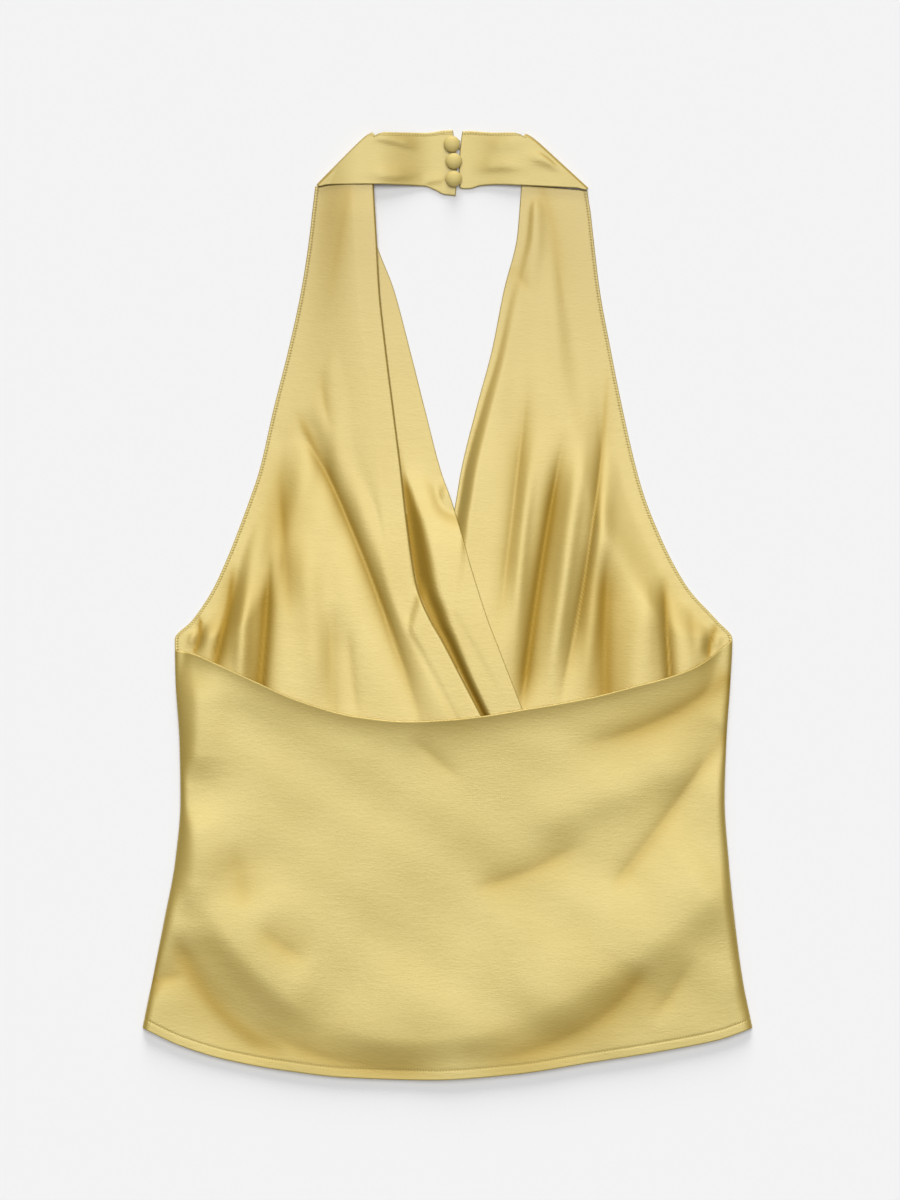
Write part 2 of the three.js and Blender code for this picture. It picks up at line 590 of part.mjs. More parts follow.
function backPoint(across, down) {
  const left = sideLeft(mix(BACK_LEFT_END.y, HEM_AT_SIDES, down)) + BACK_INSET;
  const right = sideRight(mix(BACK_RIGHT_END.y, HEM_AT_SIDES, down)) - BACK_INSET;
  const x = mix(left, right, across);
  const atEdge = mix(BACK_LEFT_END.x, BACK_RIGHT_END.x, across);
  const top = backEdge(atEdge);
  const y = mix(top, hemLine(mix(-HEM_HALF_WIDTH, HEM_HALF_WIDTH, across)), down);
  const below = Math.max(0, top - y);
  const lying = mix(BACK_LIES_AT, backEdgeHeight(atEdge), Math.exp(-below / BACK_FALLS_OVER));
  const rim = RIM_RISES * Math.exp(-below / RIM_RISES_OVER) * smooth(0, RIM_FROM_SIDE, x - left);
  const folded = lying + rim + heightOfFolds(FOLDS_BACK, x, y) - BACK_LOWEST;
  const seam = LYING + LAYER;
  const away = clamp01(Math.min((x - left) / roundsLeft(y), (right - x) / roundsRight(y)));
  const height = seam + (BACK_LOWEST + settle(folded) - seam) * Math.sqrt(1 - (1 - away) ** 2);
  return new THREE.Vector3(x, y, height);
}

// A half of the neckband: rows along its length, each from the strap's outer edge to its neckline edge.
// A station is the cloth's distance from the slanted fold, less than nothing before it, and the fold is a
// half turn round a slanted axis.
function makeBand(band) {
  const low = curveOf(band.edges, "x", "low");
  const high = curveOf(band.edges, "x", "high");
  const [cornerX, cornerY] = band.corner;
  const [slantX, slantY] = band.slant;
  const slant = Math.hypot(slantX, slantY);
  const [outX, outY] = [(-band.side * slantY) / slant, slantX / slant];
  const rows = [];
  for (let j = 0; j <= BAND_COLUMNS; j += 1) {
    const across = j / BAND_COLUMNS;
    const radius = mix(band.fold.outer, band.fold.inner, across);
    const half = (Math.PI * radius) / 2;
    const foldX = cornerX + band.side * across * slantX;
    const foldY = cornerY + across * slantY;
    const before = foldY - seamOf(band, foldX) - TURNED_SEAM_GAP;
    const straight = (before - radius * outY) * outY;
    const turnedIn = radius * Math.acos(clamp01(1 - before / (radius * outY)));
    const first = straight > 0 ? -half - straight : -turnedIn;
    const after = band.side * (bandEnd(band, across) - foldX);
    const last = half + (after + band.side * radius * outX) * Math.abs(outX);
    const row = bandStations(first, last, half).map((station) => {
      const turned = clamp(station, -half, half) / radius;
      const beyond = Math.max(0, Math.abs(station) - half);
      const out = radius * Math.cos(turned) - radius;
      const onTop = station > 0;
      const rise = radius * (1 + Math.sin(turned));
      const turnX = foldX + outX * out;
      const turnY = foldY + outY * out;
      if (!onTop) return new THREE.Vector3(turnX, turnY - beyond / outY, BAND_WALL / 2 + rise);
      const x = turnX + (band.side * beyond) / Math.abs(outX);
      const edges = mix(low(x), high(x), across);
      const y = mix(turnY, edges, smooth(0, BAND_SETTLES_TO_EDGES_OVER, beyond));
      return new THREE.Vector3(x, y, BAND_WALL / 2 + bandRise(band, x, rise));
    });
    rows.push(row);
  }
  return wallOf(rows, BAND_WALL);
}

// The folded-over part comes down from its fold, or from the strap's pleat under it, to the table
function bandRise(band, x, rise) {
  const past = band.side * (x - band.corner[0]) - band.slant[0];
  const fall = 1 - smooth(BAND_FALLS.from, BAND_FALLS.to, past);
  const climb = smooth(BAND_CLIMBS.from, BAND_CLIMBS.to, past);
  return Math.max(rise, band.overPleat * climb) * fall;
}

// Where a half of the neckband ends at the centre, at a share of its width from its lower edge
function bandEnd({ end }, across) {
  return mix(end.low, end.high, across) + end.bulge * 4 * across * (1 - across);
}

function bandStations(first, last, half) {
  const turnFrom = Math.max(first, -half);
  const start = Math.min(first, turnFrom - BAND_LEAST_BEFORE_TURN);
  const spans = [
    { from: start, to: turnFrom, steps: BAND_STEPS.before },
    { from: turnFrom, to: half, steps: BAND_STEPS.turn },
    { from: half, to: last, steps: BAND_STEPS.after },
  ];
  const stations = [];
  for (const { from, to, steps } of spans)
    for (let i = 0; i < steps; i += 1) stations.push(mix(from, to, i / steps));
  return [...stations, last];
}

// A closed wall round the middle surface that rows of points give
function wallOf(rows, thickness) {
  const down = rows.length;
  const across = rows[0].length;
  const at = (j, i) => rows[clamp(j, 0, down - 1)][clamp(i, 0, across - 1)];
  const step = (from, to) => new THREE.Vector3().subVectors(to, from);
  const positions = [];
  for (const side of [1, -1])
    for (let j = 0; j < down; j += 1)
      for (let i = 0; i < across; i += 1) {
        const alongRow = step(at(j, i - 1), at(j, i + 1));
        const normal = step(at(j - 1, i), at(j + 1, i)).cross(alongRow).normalize();
        positions.push(...at(j, i).clone().addScaledVector(normal, (side * thickness) / 2));
      }
  const faces = [];
  const count = down * across;
  const quad = (a, b, c, d) => faces.push(a, b, c, a, c, d);
  for (let j = 0; j + 1 < down; j += 1)
    for (let i = 0; i + 1 < across; i += 1) {
      const a = j * across + i;
      const b = a + across;
      quad(a, b, b + 1, a + 1);
      quad(count + a, count + a + 1, count + b + 1, count + b);
    }
  const rim = [];
  for (let i = 0; i < across - 1; i += 1) rim.push(i);
  for (let j = 0; j < down - 1; j += 1) rim.push(j * across + across - 1);
  for (let i = across - 1; i > 0; i -= 1) rim.push((down - 1) * across + i);
  for (let j = down - 1; j > 0; j -= 1) rim.push(j * across);
  rim.forEach((a, i) => {
    const b = rim[(i + 1) % rim.length];
    quad(a, b, count + b, count + a);
  });
  const geometry = new THREE.BufferGeometry();
  geometry.setAttribute("position", new THREE.Float32BufferAttribute(positions, 3));
  geometry.setIndex(faces);
  return facingOut(geometry);
}

// Turns every face round where a closed surface was wound inside out
function facingOut(geometry) {
  const index = geometry.index.array;
  const corners = geometry.attributes.position;
  const [a, b, c] = [new THREE.Vector3(), new THREE.Vector3(), new THREE.Vector3()];
  let volume = 0;
  for (let i = 0; i < index.length; i += 3) {
    a.fromBufferAttribute(corners, index[i]);
    b.fromBufferAttribute(corners, index[i + 1]);
    c.fromBufferAttribute(corners, index[i + 2]);
    volume += a.dot(b.cross(c));
  }
  if (volume < 0)
    for (let i = 0; i < index.length; i += 3) {
      const second = index[i + 1];
      index[i + 1] = index[i + 2];
      index[i + 2] = second;
    }
  return geometry;
}

// A covered button: a low dome over a narrow shank, turned round the Z axis, its foot at z = 0
function makeButton() {
  const shank = [
    new THREE.Vector2(0, 0),
    new THREE.Vector2(SHANK_RADIUS, 0),
    new THREE.Vector2(SHANK_RADIUS, SHANK_HEIGHT),
  ];
  const dome = BUTTON_DOME.map((ring) => new THREE.Vector2(BUTTON_RADIUS - ring.in, ring.z));
  return new THREE.LatheGeometry([...shank, ...dome], BUTTON_SIDES).rotateX(Math.PI / 2);
}

// A loop of covered cord: out of the right half's end, up through the gap, round the shank and back
function makeLoop({ x, y }) {
  const across = clamp01((y - BAND_RIGHT.corner[1]) / BAND_RIGHT.slant[1]);
  const end = bandEnd(BAND_RIGHT, across) - SEAM_GAP - CORD_RADIUS;
  const leg = (side) => {
    const rising = LOOP_LEG.map(({ beforeEnd, wider, z }) => {
      const off = side * (CORD_REACH + wider);
      return new THREE.Vector3(end - beforeEnd, y + off, z);
    });
    const last = new THREE.Vector3(x + LOOP_PAST_MIDDLE, y + side * CORD_REACH, LOOP_HEIGHT);
    return [...rising, last];
  };
  const round = LOOP_ROUND_SHANK.map((degrees) => {
    const angle = degToRad(180 + degrees);
    const [offX, offY] = [CORD_REACH * Math.cos(angle), -CORD_REACH * Math.sin(angle)];
    return new THREE.Vector3(x + offX, y + offY, LOOP_HEIGHT);
  });
  const points = [...leg(-1), ...round, ...leg(1).reverse()];
  const section = new THREE.Shape().absarc(0, 0, CORD_RADIUS, 0, 2 * Math.PI);
  return new THREE.ExtrudeGeometry(section, {
    steps: LOOP_STEPS,
    curveSegments: CORD_ARC_STEPS,
    extrudePath: new THREE.CatmullRomCurve3(points, false, "centripetal"),
  });
}

const satin = () => new THREE.MeshStandardMaterial({ color: 0xdccb8c, roughness: 0.38 });
const cord = () => new THREE.MeshStandardMaterial({ color: 0xd2bd79, roughness: 0.5 });

const top = new THREE.Group();

function add(name, geometry, material) {
  const mesh = new THREE.Mesh(geometry, material);
  mesh.name = name;
  top.add(mesh);
  return mesh;
}

add("front_right", makeFrontRight(), satin());
add("front_left", makeFrontLeft(), satin());
add("back_panel", makeBack(), satin());
add("neckband_left", makeBand(BAND_LEFT), satin());
add("neckband_right", makeBand(BAND_RIGHT), satin());
for (const button of BUTTONS) {
  add("button_" + button.name, makeButton(), satin()).position.set(button.x, button.y, BUTTON_LIFT);
  add("button_loop_" + button.name, makeLoop(button), cord());
}

export default top;
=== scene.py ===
import math

import bpy
import numpy as np
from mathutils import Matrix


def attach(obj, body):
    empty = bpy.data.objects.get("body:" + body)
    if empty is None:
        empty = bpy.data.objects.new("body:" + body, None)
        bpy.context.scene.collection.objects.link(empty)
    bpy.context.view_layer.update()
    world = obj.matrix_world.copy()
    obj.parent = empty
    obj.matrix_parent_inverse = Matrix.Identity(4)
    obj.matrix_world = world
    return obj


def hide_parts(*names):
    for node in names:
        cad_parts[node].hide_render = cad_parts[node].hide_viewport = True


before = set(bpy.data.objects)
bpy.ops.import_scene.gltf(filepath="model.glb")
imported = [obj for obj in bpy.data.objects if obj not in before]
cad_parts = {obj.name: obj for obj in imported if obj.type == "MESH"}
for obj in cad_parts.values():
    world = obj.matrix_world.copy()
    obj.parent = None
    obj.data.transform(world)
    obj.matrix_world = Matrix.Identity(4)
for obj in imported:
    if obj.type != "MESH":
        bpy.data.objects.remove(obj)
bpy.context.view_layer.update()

# Tables and sizes are in millimetres, as a maker gives them, and MM turns them into metres.
# X runs across the garment, Y from the hem to the neckband, Z up from the floor that it lies on.
MM = 0.001

# Cloth, as thick as it lies with its turned edges
WALL = 1.2
BAND_WALL = 1.5
SEAM_GAP = 0.3
TURNED_SEAM_GAP = 0.75
LYING = WALL / 2
LAYER = WALL + SEAM_GAP

# The pleat beside the neckline edge of the left front. Pairs are the levels between which a change runs.
PLEAT_DEPTH = 13
PLEAT_RADIUS = 0.9
PLEAT_RADIUS_AT_BAND = 0.78
PLEAT_LEAST = 0.8
PLEAT_STRAIGHT = 0.02
PLEAT_TIGHTENS = (285, 308)
PLEAT_NARROWS = (-84, -96)
PLEAT_OPENS = (-94, -112)
PLEAT_LIFTS_FROM = PLEAT_DEPTH + 20
PLEAT_LIFTS_TO = PLEAT_DEPTH + 3
PLEAT_LIFTS_STRAP_FROM = (60, 140)
PLEAT_LIFTS_STRAP_EVENLY = 0.4

# Levels down the garment
STRAP_TOP = 312
BAND_SEAM_FELT_FROM = 285
UNDERARM = -25
HEM_BENDS_BELOW = -100
HEM_AT_SIDES = -311
HEM_HALF_WIDTH = 224.5

# How the slack cloth lies. Pairs are the levels, or the distances from an edge, between which a change runs.
FLATTENS_UNDER_BACK = (2, 30)
SLACK_FROM_ARMHOLE = 42
FOLDS_FROM_PLEAT = (12, 24)
SETTLE_ROUNDING = 0.5
FRONTS_MEET = (80, 96)
FRONTS_CROSS_BELOW = 90
STEPS_DOWN = (18, 8)
STEPS_DOWN_LOW = (42, 22)
STEPS_DOWN_LOW_FROM = -60
BACK_LIES_AT = 6.0
BACK_LOWEST = 3.75
BACK_FALLS_OVER = 32
RIM_RISES = 0.9
RIM_RISES_OVER = 8
RIM_RISES_FROM_SIDE_OVER = 20
RIPPLES_START_OVER = 30
BACK_INSET = 0.6


def table_of(columns, rows):
    """A table with named columns, a row for each section."""
    return dict(zip(columns.split(), np.array(rows, float).T))


# How high the slack cloth of each front stands, by level
SLACK = table_of("y left right", [
    (STRAP_TOP, 0, 0),
    (290, 1.5, 1.5),
    (205, 2.2, 1.7),
    (140, 3.2, 2.5),
    (90, 3.6, 3.6),
    (20, 4.2, 3.8),
    (-90, 4.6, 3.8),
])

# Sides, the pleat's edge and both neckline edges, by level
SECTIONS = table_of("y side_left pleat neck_left neck_right side_right", [
    (STRAP_TOP, -97.4, -55.0, -57.8, 54.4, 103.0),
    (272, -101.6, -52.6, -53.4, 51.3, 107.3),
    (232, -107.7, -50.4, -39.3, 41.5, 112.1),
    (188, -117.2, -45.7, -27.6, 32.7, 120.2),
    (144, -128.2, -40.2, -16.5, 20.9, 129.0),
    (99, -138.6, -34.6, -4.8, 9.9, 139.4),
    (77, -146.0, -32.2, 3.0, 6.2, 146.0),
    (55, -154.1, -29.5, 9.7, 2.2, 154.8),
    (33, -162.9, -26.5, 15.9, -2.4, 165.1),
    (11, -173.2, -22.3, 22.6, -7.4, 178.3),
    (-11, -187.9, -12.9, 29.8, -14.0, 198.3),
    (UNDERARM, -200.8, -4.8, 35.2, -18.6, 209.8),
    (-55, -200.3, 10.8, 46.8, -29.0, 208.4),
    (-99, -197.4, 34.0, 64.0, -45.0, 205.4),
    (-143, -196.6, 58.0, 84.0, -63.0, 204.0),
    (-187, -200.3, 82.0, 108.0, -86.0, 206.9),
    (-231, -208.4, 104.0, 136.0, -112.0, 211.3),
    (-275, -217.2, 126.0, 167.0, -150.0, 217.2),
    (HEM_AT_SIDES, -HEM_HALF_WIDTH, 142.0, 190.0, -180.0, HEM_HALF_WIDTH),
])

# The line of the hem
HEM = table_of("x y", [
    (-HEM_HALF_WIDTH, HEM_AT_SIDES),
    (-196.6, -324.0),
    (-163.5, -334.2),
    (-123.8, -341.6),
    (-71.7, -347.5),
    (-12.9, -349.2),
    (45.9, -345.3),
    (104.7, -336.4),
    (163.5, -326.9),
    (200.3, -319.5),
    (HEM_HALF_WIDTH, HEM_AT_SIDES),
])

# The back's top edge, which dips, and its height above the floor
BACK_EDGE = table_of("x y z", [
    (-200.4, -33.2, 2.1),
    (-187.0, -35.6, 5.6),
    (-171.0, -42.3, 7.2),
    (-143.0, -55.1, 7.9),
    (-107.7, -70.4, 8.2),
    (-65.0, -81.9, 8.5),
    (-28.4, -85.2, 9.0),
    (5.0, -83.6, 9.6),
    (24.4, -81.5, 9.6),
    (54.7, -76.7, 9.0),
    (104.1, -68.0, 8.4),
    (139.0, -59.2, 7.9),
    (163.0, -52.8, 7.4),
    (183.8, -44.8, 6.4),
    (210.1, -25.7, 2.1),
])

# Folds. Each row: where it starts, passes and ends, its rise, which is below nothing in a trough, the widths
# of its slopes to the left and right of someone who walks along it, the shares of its length over which it
# starts and dies out, and how much shade is painted into its hollow as a warm darker colour, standing for
# satin lit by satin.
FOLDS_LEFT = [
    ((-71, 316), (-81, 258), (-93, 200), -0.8, 8, 8, 0.1, 0.6, 0.1),
    ((-93, 178), (-91, 152), (-85, 126), -0.8, 5, 5, 0.4, 0.5, 0.1),
    ((-114, 147), (-57, 22), (-8, -128), -2.7, 9, 7, 0.1, 0.45, 0.15),
    ((-90, 150), (-38, 4), (24, -125), 1.2, 10, 14, 0.3, 0.2, 0),
    ((-131, 46), (-134, -20), (-142, -100), -2.6, 5, 9, 0.4, 0.2, 0.5),
    ((-126, 122), (-121, 50), (-115, -26), -1.4, 12, 9, 0.4, 0.4, 0.4),
    ((-136, 90), (-149, 10), (-152, -90), 1.4, 6, 6, 0.3, 0.3, 0),
    ((-158, 34), (-163, -8), (-180, -72), -2.8, 6, 5, 0.3, 0.3, 0.5),
    ((-108, 60), (-100, -5), (-97, -80), 1.0, 10, 10, 0.4, 0.3, 0),
    ((-84, 4), (-85, -42), (-82, -112), -1.0, 8, 9, 0.4, 0.3, 0.1),
    ((-73, -12), (-71, -48), (-64, -96), -0.6, 4, 4, 0.4, 0.3, 0),
    ((-184, -5), (-182, -22), (-190, -40), -4.5, 1.8, 2.6, 0.3, 0.3, 0.6),
    ((-189, -14), (-188, -24), (-194, -34), 2.4, 2.5, 2.5, 0.4, 0.4, 0),
]
FOLDS_RIGHT = [
    ((66, 316), (80, 268), (87, 205), -0.9, 8, 9, 0.1, 0.5, 0.1),
    ((46, 252), (55, 238), (68, 226), -0.4, 7, 7, 0.2, 0.6, 0.1),
    ((60, 170), (47, 60), (36, -34), -1.3, 7, 7, 0.3, 0.4, 0.2),
    ((64, 130), (55, 45), (48, -50), 0.8, 5, 5, 0.4, 0.4, 0),
    ((88, 135), (69, 30), (52, -95), -2.5, 7, 6, 0.35, 0.2, 0.5),
    ((98, 120), (88, 40), (73, -80), 1.4, 7, 7, 0.4, 0.3, 0),
    ((118, 186), (107, 60), (79, -90), -1.7, 4.5, 4, 0.25, 0.3, 0.2),
    ((122, 130), (110, 30), (100, -80), 1.0, 7, 6, 0.4, 0.3, 0),
    ((120, 48), (116, -10), (117, -100), -2.0, 12, 12, 0.4, 0.2, 0.5),
    ((150, 20), (142, -30), (138, -100), 1.0, 12, 11, 0.4, 0.3, 0),
    ((160, 28), (161, -15), (166, -90), -2.4, 6, 4.5, 0.35, 0.2, 0.3),
    ((178, 4), (180, -14), (182, -44), -0.7, 6, 5, 0.4, 0.4, 0.1),
    ((199, -12), (194, -25), (192, -42), -4.5, 2.5, 2, 0.3, 0.3, 0.5),
    ((203, -18), (200, -25), (199, -34), 3.0, 2, 2.5, 0.4, 0.4, 0),
]
FOLDS_BACK = [
    ((212, -46), (158, -84), (84, -106), -1.5, 16, 13, 0.1, 0.4, 0.3),
    ((208, -88), (172, -140), (118, -212), -1.2, 12, 9, 0.1, 0.12, 0.1),
    ((190, -112), (110, -142), (36, -180), 1.3, 18, 22, 0.2, 0.4, 0),
    ((212, -192), (126, -262), (20, -318), 2.5, 23, 44, 0.15, 0.3, 0),
    ((60, -300), (-20, -318), (-110, -300), 1.8, 16, 44, 0.3, 0.4, 0),
    ((148, -262), (96, -314), (0, -340), -1.0, 14, 16, 0.15, 0.3, 0.4),
    ((10, -338), (-70, -338), (-150, -304), -1.1, 14, 16, 0.3, 0.3, 0.3),
    ((-112, -334), (-167, -298), (-204, -236), -2.2, 17, 16, 0.3, 0.2, 0.25),
    ((-184, -206), (-140, -266), (-84, -310), 2.0, 36, 16, 0.3, 0.3, 0),
    ((184, -254), (166, -284), (146, -308), -0.8, 11, 10, 0.4, 0.4, 0.1),
    ((-222, -277), (-208, -274), (-190, -270), -1.2, 8, 6, 0.1, 0.4, 0.1),
    ((-186, -45), (-182, -90), (-188, -132), 1.6, 22, 9, 0.3, 0.3, 0),
    ((-188, -140), (-184, -186), (-192, -232), 1.6, 22, 10, 0.3, 0.3, 0),
    ((-160, -170), (-152, -200), (-150, -226), -0.7, 14, 14, 0.4, 0.4, 0.2),
    ((-142, -232), (-122, -250), (-98, -264), -0.7, 10, 10, 0.4, 0.4, 0.2),
    ((14, -208), (58, -196), (106, -170), -0.9, 10, 12, 0.3, 0.3, 0.2),
    ((-30, -96), (-10, -112), (16, -134), -0.5, 8, 8, 0.4, 0.4, 0.1),
]

# The valley of the strip beside the pleat's edge: how wide it is at each level, how high the strip rises
# from it and how much shade is painted into it as a warm darker colour
VALLEY = table_of("y width rise warm", [
    (125, 3, 0, 0),
    (100, 4, 0.7, 0.4),
    (80, 9, 2.1, 0.9),
    (60, 14, 4.0, 1),
    (30, 17, 5.0, 1),
    (0, 17, 5.3, 0.9),
    (-20, 13, 5.4, 0.9),
    (-40, 10, 5.4, 0.9),
    (-60, 8, 5.4, 0.9),
    (-80, 7, 5.2, 0.9),
])
STRIP_FALLS_OVER = 18
STRIP_FALLS_FROM = (54, 84)
# Shares of the valley's width over which its painted shade fades out
VALLEY_SHADE_FADES = (1.1, 0.3)

# How soon the right front rises from its neckline edge, and lower down from the hidden side of the pleat
RISES_FROM_INNER_EDGE = table_of("y width", [
    (STRAP_TOP, 12),
    (70, 13),
    (20, 18),
    (-80, 22),
])
RISES_PAST_PLEAT = 5

# How soon the back panel rounds down to its side edges, and how full the rounding is, where 2 is a circle's
SIDE_FULLNESS = 3
SIDE_ROUNDING = table_of("y left right", [
    (-30, 9, 8),
    (-60, 11, 7),
    (-110, 12, 7),
    (-130, 7, 7),
    (-146, 7, 7),
    (-165, 11, 7),
    (-200, 13, 7),
    (-228, 9, 8),
    (-256, 11, 9),
    (-276, 17, 8),
    (-291, 7, 12),
    (HEM_AT_SIDES, 6, 8),
])

# Halves of the neckband, each folded over on a slant at its strap's top. `side` is the way in along X,
# `corner` where the fold starts at the strap's outer edge, `slant` how far in and up it runs, `seam` the
# levels of the strap's seam at its ends, `edges` the lower and upper edge past the fold, `end` where those
# stop and how far the end bulges, `fold` the radii at the ends of the fold, and `over_pleat` how high the
# pleat lifts the half.
BAND_LEFT = {
    "side": 1,
    "corner": (-96, 309),
    "slant": (39.8, 39.5),
    "seam": (308.6, 311.7),
    "edges": table_of("x low high", [
        (-96, 309.0, 348.5),
        (-84, 309.3, 348.2),
        (-54, 309.4, 347.8),
        (-33, 309.0, 347.8),
        (-17, 308.3, 347.8),
        (-9, 305.4, 348.6),
        (-3, 302.4, 349.6),
        (6, 301.2, 350.0),
    ]),
    "end": (6.0, 3.9, 1.6),
    "fold": (1.4, 2.3),
    "over_pleat": 4.7,
    "creases": [
        ((-68, 344), (-38, 341), (-16, 332), 1.1, 8, 3.5, 0.4, 0.4, 0),
        ((-70, 319), (-38, 316), (-12, 320), 1.1, 9, 5, 0.4, 0.5, 0),
        ((-20, 311), (-10, 312), (1, 314), 0.9, 6, 1.8, 0.4, 0.3, 0),
    ],
}
BAND_RIGHT = {
    "side": -1,
    "corner": (103.4, 306.4),
    "slant": (45.0, 41.4),
    "seam": (305.3, 309.6),
    "edges": table_of("x low high", [
        (8, 307.6, 348.8),
        (12, 306.4, 349.0),
        (17, 306.6, 349.3),
        (24, 308.6, 348.6),
        (36, 309.4, 347.8),
        (55, 308.7, 347.8),
        (78, 307.6, 347.8),
        (103.4, 306.4, 347.8),
    ]),
    "end": (8.9, 10.9, -1.3),
    "fold": (1.4, 1.6),
    "over_pleat": 0,
    "creases": [
        ((12, 318), (40, 323), (74, 318), 1.1, 9, 5, 0.4, 0.5, 0),
        ((20, 333), (44, 340), (66, 342), 0.9, 8, 8, 0.4, 0.5, 0),
        ((52, 329), (70, 328), (92, 315), 1.2, 6, 6, 0.5, 0.4, 0),
    ],
}
BAND_FALLS = (2, 48)
BAND_CLIMBS = (-60, -8)
BAND_SETTLES_TO_EDGES_OVER = 5
BAND_CORNER_ROUNDING = 1.4
BAND_CORNER_TIGHTNESS = 14
BAND_CREASES_START_OVER = 6
BAND_LEAST_BEFORE_TURN = 0.4

# Covered buttons and their loops
BUTTONS = {"top": (3.2, 339.0), "middle": (4.6, 326.6), "bottom": (4.5, 313.6)}
SHANK_RADIUS = 1.5
SHANK_HEIGHT = 1.9
BUTTON_LIFT = BAND_WALL + SEAM_GAP
CORD_RADIUS = 0.6
CORD_REACH = SHANK_RADIUS + SEAM_GAP + CORD_RADIUS
LOOP_HEIGHT = BUTTON_LIFT + SHANK_HEIGHT / 2
LOOP_PAST_MIDDLE = 0.6
LOOP_DIRECTIONS_ROUND_SHANK = (130, 180, 230)
LOOP_STEPS = 14
CORD_SIDES = 10
BUTTON_SIDES = 64

# A loop's leg: how far before the right half's end, how much further aside than round the shank, how high
LOOP_LEG = [
    (0, 0.3, BAND_WALL / 2),
    (0.1, 0.3, 1.7),
    (0.9, 0.2, LOOP_HEIGHT),
]

# Half of a button's outline, from the foot of its shank to the middle of its head
TINY_RING = 0.001
BUTTON_PROFILE = table_of("radius z", [
    (TINY_RING, 0),
    (SHANK_RADIUS - 0.1, 0),
    (SHANK_RADIUS, 0.1),
    (SHANK_RADIUS, SHANK_HEIGHT),
    (5.1, SHANK_HEIGHT),
    (5.75, 2.25),
    (5.97, 2.8),
    (5.98, 3.3),
    (5.75, 3.85),
    (5.3, 4.3),
    (4.5, 4.8),
    (3.6, 5.2),
    (2.4, 5.5),
    (1.2, 5.66),
    (TINY_RING, 5.7),
])

# Turned edges and their stitches, each with its thread thinner where it dips in
EDGE_ROUNDING = 0.7
STITCH_FROM_EDGE = 2.0
HEM_STITCH_FROM_EDGE = 7.0
BAND_STITCH_FROM_EDGE = 2.5
STITCH_PITCH = 2.1
STITCH_LENGTH = 1.55
THREAD_RADIUS = 0.17
THREAD_END_SHARE = 0.55
GROOVE_DEPTH = 0.14
GROOVE_WIDTH = 0.55

# Distances from an edge at which its cloth is divided, close together where it rounds off and is stitched.
# The inner edge is where one stretch of a row meets the next.
PLAIN_EDGE = [0, 0.1, 0.3, 0.6, 1.1, 1.8, 2.8]
STITCHED_EDGE = [0, 0.1, 0.3, 0.6, 1.0, 1.5, 1.8, STITCH_FROM_EDGE, 2.2, 2.5, 3.1, 4.0]
HEM_EDGE = [0, 0.1, 0.3, 0.6, 1.1, 2.0, 3.4, 5.0, 6.2, 6.7, HEM_STITCH_FROM_EDGE, 7.3, 7.8, 9.0]
BAND_EDGE = [0, 0.1, 0.3, 0.6, 1.1, 1.7, 2.2, BAND_STITCH_FROM_EDGE, 2.8, 3.3, 4.2]
INNER_EDGE = [0]


def mix(first, second, share):
    return first + (second - first) * share


def smooth(start, end, value):
    """A smooth step from nothing at the start to one at the end."""
    share = np.clip((value - start) / (end - start), 0, 1)
    return share * share * (3 - 2 * share)


def rounded_off(share, fullness=2):
    """How far a rounded edge has risen at a share of the way in from it."""
    return np.sqrt(1 - (1 - np.clip(share, 0, 1)) ** fullness)


def curve_of(table, along, column):
    """A smooth curve through one column of a table, with no overshoot between its rows."""
    order = np.argsort(table[along])
    at, value = table[along][order], table[column][order]
    width = np.diff(at)
    slope = np.diff(value) / width
    product = slope[:-1] * slope[1:]
    total = np.where(product > 0, slope[:-1] + slope[1:], 1)
    inner = np.where(product > 0, 2 * product / total, 0)
    tangent = np.concatenate([slope[:1], inner, slope[-1:]])

    def curve(place):
        p = np.clip(place, at[0], at[-1])
        i = np.clip(np.searchsorted(at, p, side="right") - 1, 0, len(slope) - 1)
        t = (p - at[i]) / width[i]
        leave = t * (1 - t) ** 2 * width[i] * tangent[i]
        arrive = -t * t * (1 - t) * width[i] * tangent[i + 1]
        return mix(value[i], value[i + 1], t * t * (3 - 2 * t)) + leave + arrive

    return curve


side_left = curve_of(SECTIONS, "y", "side_left")
pleat_edge = curve_of(SECTIONS, "y", "pleat")
neck_left = curve_of(SECTIONS, "y", "neck_left")
neck_right = curve_of(SECTIONS, "y", "neck_right")
side_right = curve_of(SECTIONS, "y", "side_right")
slack_left = curve_of(SLACK, "y", "left")
slack_right = curve_of(SLACK, "y", "right")
valley_width = curve_of(VALLEY, "y", "width")
valley_rise = curve_of(VALLEY, "y", "rise")
valley_painted_shade = curve_of(VALLEY, "y", "warm")
rises_over = curve_of(RISES_FROM_INNER_EDGE, "y", "width")
rounds_left = curve_of(SIDE_ROUNDING, "y", "left")
rounds_right = curve_of(SIDE_ROUNDING, "y", "right")
hem_line = curve_of(HEM, "x", "y")
back_edge = curve_of(BACK_EDGE, "x", "y")
back_edge_height = curve_of(BACK_EDGE, "x", "z")


def slanted(edge, level):
    """How much further along a row than square to a slanted edge a distance from it is."""
    reach = 1.0
    slope = (edge(level + reach) - edge(level - reach)) / (2 * reach)
    return np.sqrt(1 + slope ** 2)


# How folds fade out, with distances as shares of their slopes, and how shade is painted into the cloth's
# colour
FOLD_STEPS = 16
FOLD_REACH = 4.0
CREASE_ROUNDING = 0.15
PAINTED_SHADE_REACH = 1.4
CREASE_SHADE = 0.18
CREASE_SHADE_REACH = 0.4
STEEP_PAINTED_SHADE = 0.45
STEEP_BETWEEN = (0.02, 0.3)


